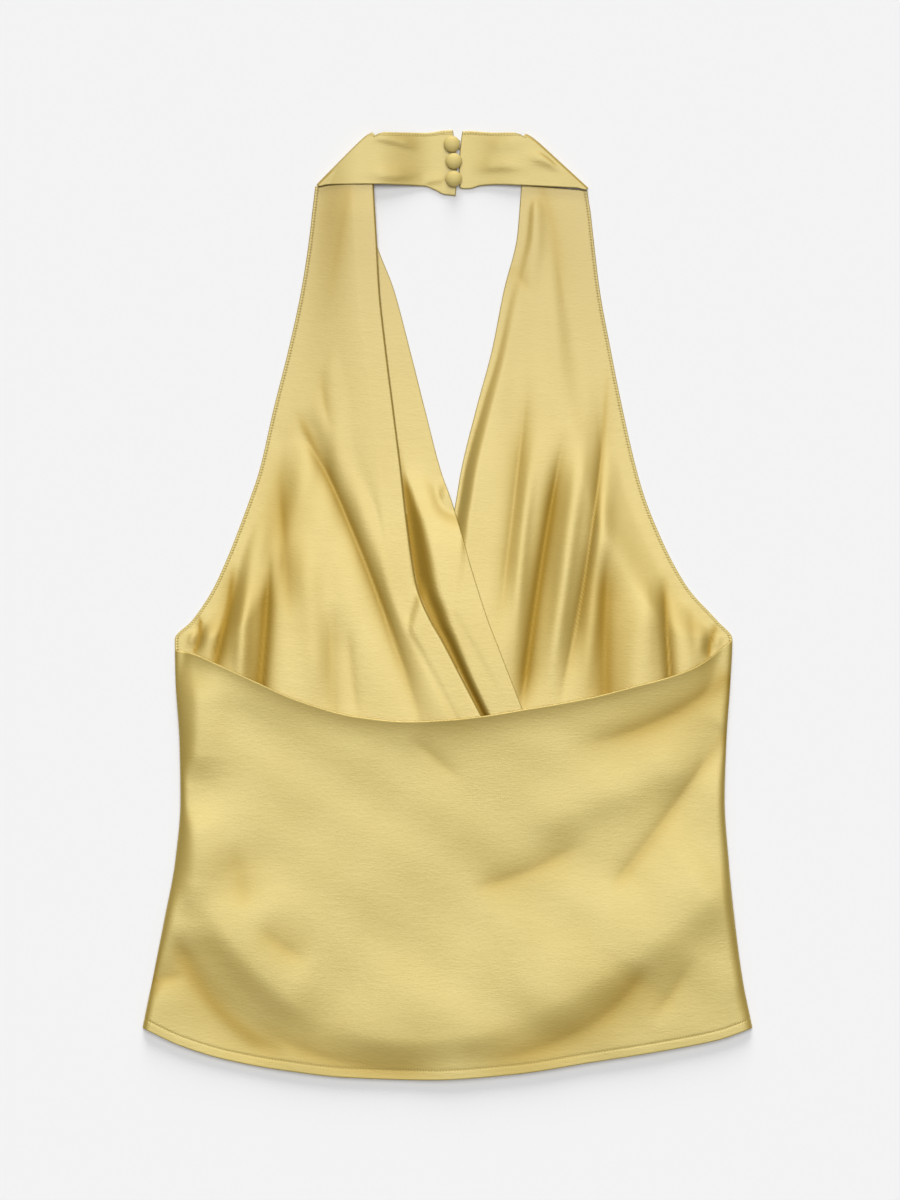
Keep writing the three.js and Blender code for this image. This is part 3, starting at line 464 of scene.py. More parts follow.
def sum_of_folds(folds, x, y, effect):
    """The sum over a table's folds of the effect of each, which fades out to its ends."""
    x, y = np.broadcast_arrays(x, y)
    total = np.zeros(x.shape)
    for start, middle, end, rise, left, right, fade_in, fade_out, warm in folds:
        line = bow_through(start, middle, end)
        reach = FOLD_REACH * max(left, right)
        low, high = line.min(0) - reach, line.max(0) + reach
        near = (x > low[0]) & (x < high[0]) & (y > low[1]) & (y < high[1])
        if not near.any():
            continue
        distance, is_left, along = nearest_on(line, x[near], y[near])
        ends = smooth(0, fade_in, along) * smooth(0, fade_out, 1 - along)
        out = distance / np.where(is_left, left, right)
        total[near] += ends * effect(rise, warm, out)
    return total


def fold_form(rise, warm, out):
    """A ridge is round. A trough is a soft crease, whose slopes are steepest near its bottom."""
    if rise > 0:
        return rise * np.exp(-(out ** 2))
    crease = np.exp(CREASE_ROUNDING - np.hypot(out, CREASE_ROUNDING))
    return rise * crease * smooth(FOLD_REACH, FOLD_REACH / 2, out)


def height_of_folds(folds, x, y):
    return sum_of_folds(folds, x, y, fold_form)


def fold_painted_shade(rise, warm, out):
    """Painted shade: a warm darker colour in a hollow, standing for satin lit by satin, and more of it at
    the bottom of its crease, where no light reaches.
    """
    bottom = np.exp(-((out / CREASE_SHADE_REACH) ** 2)) * max(0, -rise) * CREASE_SHADE
    return warm * np.exp(-((out / PAINTED_SHADE_REACH) ** 2)) + bottom


def painted_shade_of_folds(folds, x, y):
    return sum_of_folds(folds, x, y, fold_painted_shade)


def bow_through(start, middle, end):
    """Points along a smooth bow from the start through the middle to the end."""
    a, m, b = (np.array(point, float) for point in (start, middle, end))
    bend = 2 * m - (a + b) / 2
    t = np.linspace(0, 1, FOLD_STEPS + 1)[:, None]
    return (1 - t) ** 2 * a + 2 * t * (1 - t) * bend + t * t * b


def nearest_on(line, x, y):
    """Each point's distance from a line, its side of it, and how far along the line it is."""
    a, d = line[:-1], np.diff(line, axis=0)
    px, py = x[:, None] - a[:, 0], y[:, None] - a[:, 1]
    share = np.clip((px * d[:, 0] + py * d[:, 1]) / (d ** 2).sum(1), 0, 1)
    ox, oy = px - share * d[:, 0], py - share * d[:, 1]
    distance = np.hypot(ox, oy)
    i = distance.argmin(1)
    at = np.arange(len(x))
    is_left = (d[i, 0] * oy[at, i] - d[i, 1] * ox[at, i]) > 0
    return distance[at, i], is_left, (i + share[at, i]) / len(d)


# Broad low ripples in the slack cloth: their height, their waves across a panel and along 100 mm of it, and
# the share of a wave at which they start
RIPPLE_LENGTH = 100
RIPPLES_FRONT = table_of("height across along start", [
    (0.24, 1.6, 0.22, 0.10),
    (0.14, 2.7, -0.31, 0.45),
    (0.08, 4.3, 0.53, 0.80),
])
RIPPLES_BACK = table_of("height across along start", [
    (0.24, 1.1, -0.42, 0.15),
    (0.14, 2.3, -0.93, 0.60),
    (0.09, 3.7, 1.30, 0.35),
    (0.07, 5.3, 2.10, 0.90),
])


def height_of_ripples(ripples, across, y):
    total = 0
    for height, waves_across, waves_along, start in zip(*ripples.values()):
        turns = waves_across * across + waves_along * y / RIPPLE_LENGTH + start
        total = total + height * np.sin(2 * math.pi * turns)
    return total


def settle(height):
    """Cloth can't go below what it lies on, so a height that would is rounded off at nothing."""
    rounded = height * height / (4 * SETTLE_ROUNDING)
    above = np.where(height < 2 * SETTLE_ROUNDING, rounded, height - SETTLE_ROUNDING)
    return np.where(height <= 0, 0, above)


def clear_of_back(x, y):
    """The weight of the back panel flattens the fronts beneath it."""
    return 1 - smooth(*FLATTENS_UNDER_BACK, back_edge(x) - y)


def right_height(x, y):
    """The right front is slackest in its middle and comes down to the floor at its edges."""
    inner = np.maximum(neck_right(y), pleat_edge(y) + RISES_PAST_PLEAT)
    free = smooth(0, rises_over(y), x - inner) * smooth(0, SLACK_FROM_ARMHOLE, side_right(y) - x)
    across = (x - neck_right(y)) / (side_right(y) - neck_right(y))
    folds = height_of_folds(FOLDS_RIGHT, x, y) + height_of_ripples(RIPPLES_FRONT, across, y)
    return LYING + settle((slack_right(y) + folds) * free * clear_of_back(x, y))


def on_right(x, y):
    """How high the right front lifts the left front, from well before its own edge."""
    low = smooth(STEPS_DOWN_LOW_FROM, HEM_BENDS_BELOW, y)
    start = mix(STEPS_DOWN[0], STEPS_DOWN_LOW[0], low)
    end = mix(STEPS_DOWN[1], STEPS_DOWN_LOW[1], low)
    crossed = 1 - smooth(*FRONTS_MEET, y)
    return LAYER * crossed * smooth(start, end, neck_right(y) - x)


def left_height(x, y, drop):
    """The left front up to its pleat, which lifts it by the pleat's own height at its edge."""
    wide = pleat_edge(y) - side_left(y)
    before = pleat_edge(y) - x
    on_strap = smooth(*PLEAT_LIFTS_STRAP_FROM, y)
    reach = mix(PLEAT_LIFTS_FROM, wide, on_strap)
    share = np.clip((reach - before) / (reach - PLEAT_LIFTS_TO), 0, 1)
    lifted = mix(smooth(0, 1, share), share, PLEAT_LIFTS_STRAP_EVENLY * on_strap)
    folds = height_of_folds(FOLDS_LEFT, x, y) + height_of_ripples(RIPPLES_FRONT, before / wide, y)
    raised = slack_left(y) + folds * smooth(*FOLDS_FROM_PLEAT, before)
    free = smooth(0, SLACK_FROM_ARMHOLE, x - side_left(y)) * clear_of_back(x, y)
    return drop * lifted + settle(raised * free - drop * lifted - on_right(x, y))


def strip_height(x, y):
    """The strip rises beside the pleat's edge and comes down on the right front, or on the floor."""
    past = x - pleat_edge(y)
    falls = smooth(0, STRIP_FALLS_OVER, neck_left(y) - x)
    risen = smooth(0, 1, past / valley_width(y)) * mix(1, falls, smooth(*STRIP_FALLS_FROM, y))
    covered = np.where(y < FRONTS_CROSS_BELOW, right_height(x, y) - LYING, 0)
    return covered + settle(valley_rise(y) * risen * clear_of_back(x, y) - covered - on_right(x, y))


def places(width, count, start, end):
    """Distances across rows of these widths, close together at both edges and even between them."""
    width = np.asarray(width, float).reshape(-1, 1)
    start, end = np.array(start, float), np.array(end, float)
    ones = np.ones_like(width)
    inner = mix(start[-1], width - end[-1], np.linspace(0, 1, count + 2)[1:-1])
    return np.hstack([ones * start, inner, width - end[::-1]])


# Levels of the fronts
VISIBLE_TO = -112
VISIBLE_STEP = 1.6
HIDDEN_STEP = 7.0


def front_levels():
    """Levels from the strap's top to the hem, close together down to where the back panel covers them."""
    visible, hidden = STRAP_TOP - VISIBLE_TO, VISIBLE_TO - HEM_AT_SIDES
    upper = places(visible, int(visible / VISIBLE_STEP), PLAIN_EDGE, INNER_EDGE)
    lower = places(hidden, int(hidden / HIDDEN_STEP), INNER_EDGE, HEM_EDGE)
    return np.concatenate([STRAP_TOP - upper[0], VISIBLE_TO - lower[0, 1:]])[:, None]


def seam_of(band, x):
    """The level of the seam that joins a half of the neckband to its strap."""
    across = band["side"] * (x - band["corner"][0]) / band["slant"][0]
    return mix(*band["seam"], across)


def bent_level(level, x, band):
    """Levels low on the garment bend down with the hem, and the topmost one follows the neckband's seam."""
    low = np.clip((HEM_BENDS_BELOW - level) / (HEM_BENDS_BELOW - HEM_AT_SIDES), 0, 1)
    high = smooth(BAND_SEAM_FELT_FROM, STRAP_TOP, level)
    return level + low * (hem_line(x) - HEM_AT_SIDES) + high * (seam_of(band, x) - STRAP_TOP)


# Columns across the fronts and round the pleat
LEFT_COLUMNS = 90
STRIP_COLUMNS = 22
TURN_STEPS = 8
PLEAT_BACK_STEPS = 3
RIGHT_COLUMNS = 120


def left_front():
    """The left front's middle surface: from the side to the pleat's edge, round and back under it, round
    again, and along the strip to the neckline edge."""
    level = front_levels()

    # The pleat at each level: its radius, how far back it runs, how far it turns and how deep it reaches
    folded = mix(PLEAT_RADIUS, PLEAT_RADIUS_AT_BAND, smooth(*PLEAT_TIGHTENS, level))
    back = mix(PLEAT_DEPTH - 2 * folded, PLEAT_LEAST, smooth(*PLEAT_NARROWS, level))
    turn = mix(math.pi, PLEAT_STRAIGHT, smooth(*PLEAT_OPENS, level))
    radius = folded * math.pi / turn
    drop = 2 * radius * (1 - np.cos(turn)) + back * np.sin(turn)

    # From the side to the pleat's edge
    start, bend = side_left(level), pleat_edge(level) - folded
    slant = slanted(side_left, level)
    edge = np.array(STITCHED_EDGE)
    rest = places(bend - start - edge[-1] * slant, LEFT_COLUMNS, INNER_EDGE, INNER_EDGE)[:, 1:-1]
    x = np.hstack([start + edge * slant, start + edge[-1] * slant + rest])
    z = left_height(x, level, drop)

    # Round the edge, back under it and round again
    angle = turn * np.linspace(0, 1, TURN_STEPS + 1)
    first_x, first_z = bend + radius * np.sin(angle), drop - radius * (1 - np.cos(angle))
    share = back * np.linspace(0, 1, PLEAT_BACK_STEPS + 2)[1:]
    back_x = first_x[:, -1:] + share * np.cos(turn)
    back_z = first_z[:, -1:] - share * np.sin(turn)
    again = angle[:, ::-1]
    second_x = back_x[:, -1:] + radius * (np.sin(turn) - np.sin(again))
    second_z = back_z[:, -1:] + radius * (np.cos(turn) - np.cos(again))

    # The strip
    strip = places(neck_left(level) - second_x[:, -1:], STRIP_COLUMNS, INNER_EDGE, PLAIN_EDGE)[:, 1:]
    strip_x = second_x[:, -1:] + strip
    strip_z = strip_height(strip_x, level)

    x = np.hstack([x, first_x, back_x[:, :-1], second_x, strip_x])
    z = np.hstack([z, first_z, back_z[:, :-1], second_z, strip_z])
    z = z + LYING + on_right(x, level)
    return np.dstack([x, bent_level(level, x, BAND_LEFT), z])


def right_front():
    """The right front's middle surface, from its neckline edge to its side."""
    level = front_levels()
    start, end = neck_right(level), side_right(level)
    slant = slanted(side_right, level)
    edge = np.array(STITCHED_EDGE[::-1])
    inner = places(end - start - edge[0] * slant, RIGHT_COLUMNS, PLAIN_EDGE, INNER_EDGE)[:, :-1]
    x = np.hstack([start + inner, end - edge * slant])
    return np.dstack([x, bent_level(level, x, BAND_RIGHT), right_height(x, level)])


# How finely the back is divided
BACK_STEP = 2.2


def back_panel():
    """The back's middle surface, which lies on the fronts in broad soft folds, rounds down to its sides and
    bridges to its top edge."""
    edge = BACK_EDGE
    first, last = (edge["x"][0], edge["y"][0]), (edge["x"][-1], edge["y"][-1])
    long = first[1] - HEM_AT_SIDES
    down = (places(long, int(long / BACK_STEP), PLAIN_EDGE, HEM_EDGE) / long).T
    left = side_left(mix(first[1], HEM_AT_SIDES, down)) + BACK_INSET
    right = side_right(mix(last[1], HEM_AT_SIDES, down)) - BACK_INSET
    wide = right - left
    across = places(wide, int(2 * HEM_HALF_WIDTH / BACK_STEP), PLAIN_EDGE, PLAIN_EDGE) / wide
    x = mix(left, right, across)
    at_edge = mix(first[0], last[0], across)
    top = back_edge(at_edge)
    y = mix(top, hem_line(mix(-HEM_HALF_WIDTH, HEM_HALF_WIDTH, across)), down)
    below = np.maximum(0, top - y)
    lying = mix(BACK_LIES_AT, back_edge_height(at_edge), np.exp(-below / BACK_FALLS_OVER))
    rim = RIM_RISES * np.exp(-below / RIM_RISES_OVER) * smooth(0, RIM_RISES_FROM_SIDE_OVER, x - left)
    rippled = height_of_ripples(RIPPLES_BACK, across, y) * smooth(0, RIPPLES_START_OVER, top - y)
    folded = lying + rim + height_of_folds(FOLDS_BACK, x, y) + rippled - BACK_LOWEST
    seam = LYING + LAYER
    away = np.minimum((x - left) / rounds_left(y), (right - x) / rounds_right(y))
    z = seam + (BACK_LOWEST + settle(folded) - seam) * rounded_off(away, SIDE_FULLNESS)
    return np.dstack([x, y, z])


# Rows of the neckband's grid and their stations: under the strap's top, round the turn, and on along
BAND_ROWS = 22
BAND_UNDER_STEPS = 5
BAND_TURN_STEPS = 14
BAND_ALONG_STEPS = 64
BAND_FOLDED_TO = BAND_UNDER_STEPS + BAND_TURN_STEPS


def neckband(band):
    """A half of the neckband: rows from the strap's outer edge to its neckline edge, each from the strap's
    seam round the slanted fold and along to the centre."""
    low, high = curve_of(band["edges"], "x", "low"), curve_of(band["edges"], "x", "high")
    (corner_x, corner_y), (slant_x, slant_y), side = band["corner"], band["slant"], band["side"]
    slant = math.hypot(slant_x, slant_y)
    out_x, out_y = -side * slant_y / slant, slant_x / slant
    wide = high(corner_x) - low(corner_x)
    across = (places(wide, BAND_ROWS, PLAIN_EDGE, BAND_EDGE) / wide).T
    radius = mix(*band["fold"], across)
    half = math.pi * radius / 2

    # The line of the fold, which rounds off at the neckband's upper corner
    rounded = BAND_CORNER_ROUNDING * across ** BAND_CORNER_TIGHTNESS
    fold_x = corner_x + side * (across * slant_x + rounded)
    fold_y = corner_y + across * slant_y - rounded

    # Stations along each row, in millimetres of cloth from the middle of its turn
    before = fold_y - seam_of(band, fold_x) - TURNED_SEAM_GAP
    straight = (before - radius * out_y) * out_y
    turned_in = radius * np.arccos(np.clip(1 - before / (radius * out_y), 0, 1))
    first = np.where(straight > 0, -half - straight, -turned_in)
    last = half + (side * (band_end(band, across) - fold_x) + side * radius * out_x) * abs(out_x)
    station = band_stations(first, last, half)

    # Where the stations lie: below the fold, round it, and on top
    turned = np.clip(station, -half, half) / radius
    beyond = np.maximum(0, np.abs(station) - half)
    out = radius * np.cos(turned) - radius
    rise = radius * (1 + np.sin(turned))
    turn_x, turn_y = fold_x + out_x * out, fold_y + out_y * out
    on_top = station > 0
    x = np.where(on_top, turn_x + side * beyond / abs(out_x), turn_x)
    edges = mix(low(x), high(x), across)
    settled = mix(turn_y, edges, smooth(0, BAND_SETTLES_TO_EDGES_OVER, beyond))
    y = np.where(on_top, settled, turn_y - beyond / out_y)
    creased = height_of_folds(band["creases"], x, y)
    creased = settle(creased) * smooth(0, BAND_CREASES_START_OVER, beyond)
    z = BAND_WALL / 2 + np.where(on_top, band_rise(band, x, rise) + creased, rise)
    return np.dstack([x, y, z])


def band_rise(band, x, rise):
    """The folded neckband lies over the strap and its pleat, and comes down to the floor past them."""
    past = band["side"] * (x - band["corner"][0]) - band["slant"][0]
    over_pleat = band["over_pleat"] * smooth(*BAND_CLIMBS, past)
    return np.maximum(rise, over_pleat) * (1 - smooth(*BAND_FALLS, past))


def band_end(band, across):
    """The end at the centre back of the neck, which slants and bulges."""
    low, high, bulge = band["end"]
    return mix(low, high, across) + bulge * 4 * across * (1 - across)


def band_stations(first, last, half):
    """Stations from the strap's seam to the turn, round it, and along to the end."""
    turn_from = np.maximum(first, -half)
    begin = np.minimum(first, turn_from - BAND_LEAST_BEFORE_TURN)
    to_turn = mix(begin, turn_from, np.linspace(0, 1, BAND_UNDER_STEPS + 1)[:-1])
    round_turn = mix(turn_from, half, np.linspace(0, 1, BAND_TURN_STEPS + 1)[:-1])
    along = half + places(last - half, BAND_ALONG_STEPS, INNER_EDGE, PLAIN_EDGE)
    return np.hstack([to_turn, round_turn, along])


def along_lines(points):
    """Distances along the rows of a grid from its first column."""
    steps = np.linalg.norm(np.diff(points, axis=1), axis=2)
    return np.hstack([np.zeros((len(points), 1)), np.cumsum(steps, axis=1)])


# A length that stands for none, so that nothing is divided by zero
LEAST_LENGTH = 1e-9


def normals_of(points):
    """Directions square to the cloth at each point of a grid."""
    down = np.empty_like(points)
    down[1:-1] = points[2:] - points[:-2]
    down[0], down[-1] = points[1] - points[0], points[-1] - points[-2]
    along = np.empty_like(points)
    along[:, 1:-1] = points[:, 2:] - points[:, :-2]
    along[:, 0], along[:, -1] = points[:, 1] - points[:, 0], points[:, -1] - points[:, -2]
    normal = np.cross(down, along)
    return normal / np.maximum(np.linalg.norm(normal, axis=2, keepdims=True), LEAST_LENGTH)


def cloth(name, points, wall, painted_shade, stitched, from_edge=STITCH_FROM_EDGE):
    """A closed shell round a middle surface, rounded off at its edges, with a groove under its stitches.
    `stitched` is the stitched edge: the grid's first or last row or column."""
    across, down = along_lines(points), along_lines(points.transpose(1, 0, 2)).T
    sides = {
        "first column": across,
        "last column": across[:, -1:] - across,
        "first row": down,
        "last row": down[-1:] - down,
    }
    edge = np.minimum.reduce(list(sides.values()))
    bulge = rounded_off(edge / EDGE_ROUNDING)
    half = wall / 2 * bulge
    off = sides[stitched] - from_edge
    run = down if "column" in stitched else across
    groove = GROOVE_DEPTH * np.exp(-((off / GROOVE_WIDTH) ** 2)) * bulge
    normal = normals_of(points)
    normal = normal * np.where(normal[..., 2].sum() < 0, -1, 1)
    top = points + normal * (half - groove)[..., None]
    bottom = points - normal * half[..., None]
    piece = shell_mesh(name, top, bottom)
    # Painted shade: the steeper the cloth, the more of the warm darker colour it gets, as if it turned from
    # the light
    steep = smooth(*STEEP_BETWEEN, np.hypot(normal[..., 0], normal[..., 1]))
    warm = np.clip(painted_shade + STEEP_PAINTED_SHADE * steep, 0, 1)
    for label, value in (("stitch_off", off), ("stitch_run", run), ("painted_shade", warm)):
        flat = np.concatenate([value.ravel(), value.ravel()[inner_of(edge.shape)]])
        piece.data.attributes.new(label, "FLOAT", "POINT").data.foreach_set("value", flat.astype(np.float32))
    return piece, top, normal


def inner_of(shape):
    """Numbers of a grid's points that aren't on its rim."""
    rows, columns = shape
    return (np.arange(1, rows - 1)[:, None] * columns + np.arange(1, columns - 1)).ravel()


def shell_mesh(name, top, bottom):
    """A closed mesh of two grids that share their rim."""
    rows, columns = top.shape[:2]
    inner = inner_of((rows, columns))
    under = np.arange(rows * columns)
    under[inner] = rows * columns + np.arange(len(inner))
    vertices = np.vstack([top.reshape(-1, 3), bottom.reshape(-1, 3)[inner]])
    a = (np.arange(rows - 1)[:, None] * columns + np.arange(columns - 1)).ravel()
    quads = np.stack([a, a + columns, a + columns + 1, a + 1], 1)
    if facing_down(vertices, quads):
        quads = quads[:, ::-1]
    return mesh_of(name, vertices, np.vstack([quads, under[quads[:, ::-1]]]).tolist())


def facing_down(vertices, quads):
    a, b, c = (vertices[quads[:, i]] for i in range(3))
    return np.cross(b - a, c - a)[:, 2].sum() < 0


def mesh_of(name, vertices, faces):
    mesh = bpy.data.meshes.new(name)
    mesh.from_pydata((np.asarray(vertices) * MM).tolist(), [], faces)
    mesh.shade_smooth()
    piece = bpy.data.objects.new(name, mesh)
    bpy.context.scene.collection.objects.link(piece)
    return piece


# How finely a stitch is divided, and how it stands out of its groove
STITCH_RINGS = 6
STITCH_SIDES = 6
STITCH_PROUD = 0.03
STITCH_ARCH = 0.11


def tubes(name, centres, along, up, radii, sides):
    """Round threads: `centres` is a row of points for each, `radii` their radius at each point."""
    count, rings = centres.shape[:2]
    aside = np.cross(along, up)
    aside = aside / np.linalg.norm(aside, axis=-1, keepdims=True)
    upright = np.cross(aside, along)
    upright = upright / np.linalg.norm(upright, axis=-1, keepdims=True)
    angle = 2 * math.pi * np.arange(sides) / sides
    ring = np.cos(angle)[:, None] * aside[:, :, None] + np.sin(angle)[:, None] * upright[:, :, None]
    vertices = (centres[:, :, None] + radii[..., None, None] * ring).reshape(-1, 3)
    thread = np.arange(count)[:, None, None] * rings * sides
    row = np.arange(rings - 1)[:, None] * sides
    side, following = np.arange(sides), (np.arange(sides) + 1) % sides
    corners = [thread + row + side, thread + row + sides + side]
    corners += [thread + row + sides + following, thread + row + following]
    quads = np.stack([np.broadcast_to(c, (count, rings - 1, sides)).ravel() for c in corners], 1)
    first = [list(range(i, i + sides)) for i in range(0, count * rings * sides, rings * sides)]
    last = [[i + (rings - 1) * sides for i in reversed(face)] for face in first]
    return mesh_of(name, vertices, quads.tolist() + first + last)


def stitches(name, path, up):
    """A row of stitches along a path on the cloth, each a short thread that dips in at both ends."""
    run = np.concatenate([[0], np.cumsum(np.linalg.norm(np.diff(path, axis=0), axis=1))])
    share = np.linspace(0, 1, STITCH_RINGS)
    at = np.arange(STITCH_PITCH, run[-1] - STITCH_PITCH, STITCH_PITCH)[:, None] + STITCH_LENGTH * share
    centres = np.stack([np.interp(at, run, path[:, i]) for i in range(3)], -1)
    upward = np.stack([np.interp(at, run, up[:, i]) for i in range(3)], -1)
    centres = centres + upward * (STITCH_PROUD + STITCH_ARCH * np.sin(math.pi * share))[:, None]
    along = np.gradient(centres, axis=1)
    along = along / np.linalg.norm(along, axis=-1, keepdims=True)
    radii = THREAD_RADIUS * mix(THREAD_END_SHARE, 1, np.sin(math.pi * share))
    return tubes(name, centres, along, upward, np.broadcast_to(radii, at.shape), STITCH_SIDES)


def covered_button(name, x, y):
    """A button turned from its profile, head and shank in one."""
    angle = 2 * math.pi * np.arange(BUTTON_SIDES) / BUTTON_SIDES
    radius, z = BUTTON_PROFILE["radius"][:, None], BUTTON_PROFILE["z"][:, None]
    height = np.broadcast_to(BUTTON_LIFT + z, (len(z), BUTTON_SIDES))
    rings = np.stack([x + radius * np.cos(angle), y + radius * np.sin(angle), height], -1)
    side, following = np.arange(BUTTON_SIDES), (np.arange(BUTTON_SIDES) + 1) % BUTTON_SIDES
    row = np.arange(len(radius) - 1)[:, None] * BUTTON_SIDES
    corners = [row + side, row + following, row + BUTTON_SIDES + following, row + BUTTON_SIDES + side]
    quads = np.stack([c.ravel() for c in corners], 1).tolist()
    foot = [list(reversed(range(BUTTON_SIDES)))]
    head = [list(range((len(radius) - 1) * BUTTON_SIDES, len(radius) * BUTTON_SIDES))]
    return mesh_of(name, rings.reshape(-1, 3), quads + foot + head)


def loop_path(x, y):
    """Out of the right half's end, up through the gap, round the shank and back."""
    across = (y - BAND_RIGHT["corner"][1]) / BAND_RIGHT["slant"][1]
    end = band_end(BAND_RIGHT, across) - SEAM_GAP - CORD_RADIUS

    def leg(side):
        rising = [(end - before, y + side * (CORD_REACH + wider), z) for before, wider, z in LOOP_LEG]
        return rising + [(x + LOOP_PAST_MIDDLE, y + side * CORD_REACH, LOOP_HEIGHT)]

    turn = [math.radians(degrees) for degrees in LOOP_DIRECTIONS_ROUND_SHANK]
    bend = [(x + CORD_REACH * math.cos(a), y - CORD_REACH * math.sin(a), LOOP_HEIGHT) for a in turn]
    return np.array(leg(-1) + bend + leg(1)[::-1])


def rounded_path(points, steps):
    """A smooth path that runs through each of the points."""
    ends = np.vstack([2 * points[0] - points[1], points, 2 * points[-1] - points[-2]])
    t = np.linspace(0, 1, steps, endpoint=False)[:, None]
    spans = []
    for a, b, c, d in zip(ends[:-3], ends[1:-2], ends[2:-1], ends[3:]):
        spans.append(0.5 * (2 * b + (c - a) * t + (2 * a - 5 * b + 4 * c - d) * t ** 2
                            + (3 * b - a - 3 * c + d) * t ** 3))
    return np.vstack(spans + [points[-1:]])


def cord_loop(name, x, y):
    """Covered cord from the right half's end round the shank of the button at this place."""
    path = rounded_path(loop_path(x, y), LOOP_STEPS)
    along = np.gradient(path, axis=0)
    along = along / np.linalg.norm(along, axis=1, keepdims=True)
    up = np.broadcast_to((0.0, 0.0, 1.0), path.shape)
    radii = np.full((1, len(path)), CORD_RADIUS)
    return tubes(name, path[None], along[None], up[None], radii, CORD_SIDES)


def finish_piece(piece, finish, slot, *replaced):
    piece.data.materials.append(finish)
    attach(piece, "root")
    if replaced:
        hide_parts(*replaced)


# Finishes
class Value:
    """A socket of a material's nodes, on which maths can be written as in Python."""

    def __init__(self, finish, socket):
        self.finish, self.socket = finish, socket

    def maths(self, operation, first, second):
        return self.finish.node("Math", {"operation": operation}, {0: first, 1: second})

    def __add__(self, other):
        return self.maths("ADD", self, other)

    def __sub__(self, other):
        return self.maths("SUBTRACT", self, other)

    def __rsub__(self, other):
        return self.maths("SUBTRACT", other, self)

    def __mul__(self, other):
        return self.maths("MULTIPLY", self, other)

    __radd__ = __add__
    __rmul__ = __mul__


class Finish:
    """A material with a Principled shader, and the one way of adding a node to it."""

    def __init__(self, name, **constants):
        self.material = bpy.data.materials.new(name)
        self.material.use_nodes = True
        self.tree = self.material.node_tree
        self.shader = self.tree.nodes["Principled BSDF"]
        for socket, value in constants.items():
            self.shader.inputs[socket.replace("_", " ")].default_value = value

    def node(self, kind, settings=None, sockets=None, out=0):
        made = self.tree.nodes.new("ShaderNode" + kind)
        for name, value in (settings or {}).items():
            setattr(made, name, value)
        self.fill(made, sockets or {})
        return Value(self, made.outputs[out])

    def fill(self, node, sockets):
        for name, value in sockets.items():
            if isinstance(value, Value):
                self.tree.links.new(value.socket, node.inputs[name])
            else:
                node.inputs[name].default_value = value

    def place(self, stretch):
        """Places on the garment, in metres, stretched along its axes."""
        spot = self.node("TexCoord", out="Object")
        return self.node("VectorMath", {"operation": "MULTIPLY"}, {0: spot, 1: stretch})

    def attribute(self, name):
        return self.node("Attribute", {"attribute_name": name}, out="Fac")

    def noise(self, stretch, scale, detail):
        return self.node("TexNoise", {}, {"Vector": self.place(stretch), "Scale": scale, "Detail": detail})

    def ramp(self, value, low, high, to_low=0.0, to_high=1.0):
        sockets = {"Value": value, 1: low, 2: high, 3: to_low, 4: to_high}
        return self.node("MapRange", {"clamp": True}, sockets)

    def blend(self, share, first, second):
        """A mix of two colours, whose sockets come after those for numbers and for vectors."""
        return self.node("Mix", {"data_type": "RGBA"}, {0: share, 6: first, 7: second}, out=2)

    def bump(self, height, distance, strength):
        return self.node("Bump", {}, {"Height": height, "Distance": distance, "Strength": strength})


# Noises in satin: their stretch along the axes, their waves in a metre and their layers of detail
NO_STRETCH = (1, 1, 1)
CLOUDS = (NO_STRETCH, 22, 4)
GRAIN = ((1, 2.4, 1), 1500, 2)
CRINKLES = ((1, 3.2, 1), 260, 3)
WEAVE = ((1, 2.0, 1), 2200, 1)
STREAKS = ((0.7, 3.0, 1), 70, 2)

# The colours painted in as shade, warm and darker in hollows and on steep slopes, and darker towards the
# neck, and how much of its darker tone satin's clouds and grain bring in
PAINTED_SHADE_COLOUR = (0.36, 0.215, 0.01, 1)
NECK_SHADE_COLOUR = (0.37, 0.275, 0.07, 1)
NECKWARDS_METRES = (0.05, 0.26)
CLOUDS_BETWEEN = (0.35, 0.65)
CLOUDS_SHARE = 0.55
GRAIN_BETWEEN = (0.3, 0.7)
GRAIN_SHARE = 0.22

# What the painted shade adds to the metallic part of the gleam and to the roughness
PAINTED_SHADE_METALLIC = 0.35
PAINTED_SHADE_ROUGHNESS = 0.2

# Relief, as shares of a height in metres. Stitches pull the cloth in on both sides of their row.
RELIEF_METRES = 0.00022
RELIEF_STRENGTH = 0.8
STREAKS_RISE = 0.3
CRINKLES_RISE = 0.45
WEAVE_RISE = 0.14
STITCHES_PULL = 0.35
STITCHES_PULL_FADES = (0.2, 1.6)


def satin_relief(finish):
    """Streaks, crinkles, the weave, and the beat of the stitches beside their row."""
    crinkles, weave = finish.noise(*CRINKLES), finish.noise(*WEAVE)
    run, off = finish.attribute("stitch_run"), finish.attribute("stitch_off")
    beat = finish.node("Math", {"operation": "SINE"}, {0: run * (2 * math.pi / STITCH_PITCH)})
    away = finish.node("Math", {"operation": "ABSOLUTE"}, {0: off})
    near = 1 - finish.ramp(away, *STITCHES_PULL_FADES)
    streaks = finish.noise(*STREAKS)
    cloth_height = streaks * STREAKS_RISE + crinkles * CRINKLES_RISE + weave * WEAVE_RISE
    return finish.bump(cloth_height + beat * near * STITCHES_PULL, RELIEF_METRES, RELIEF_STRENGTH)


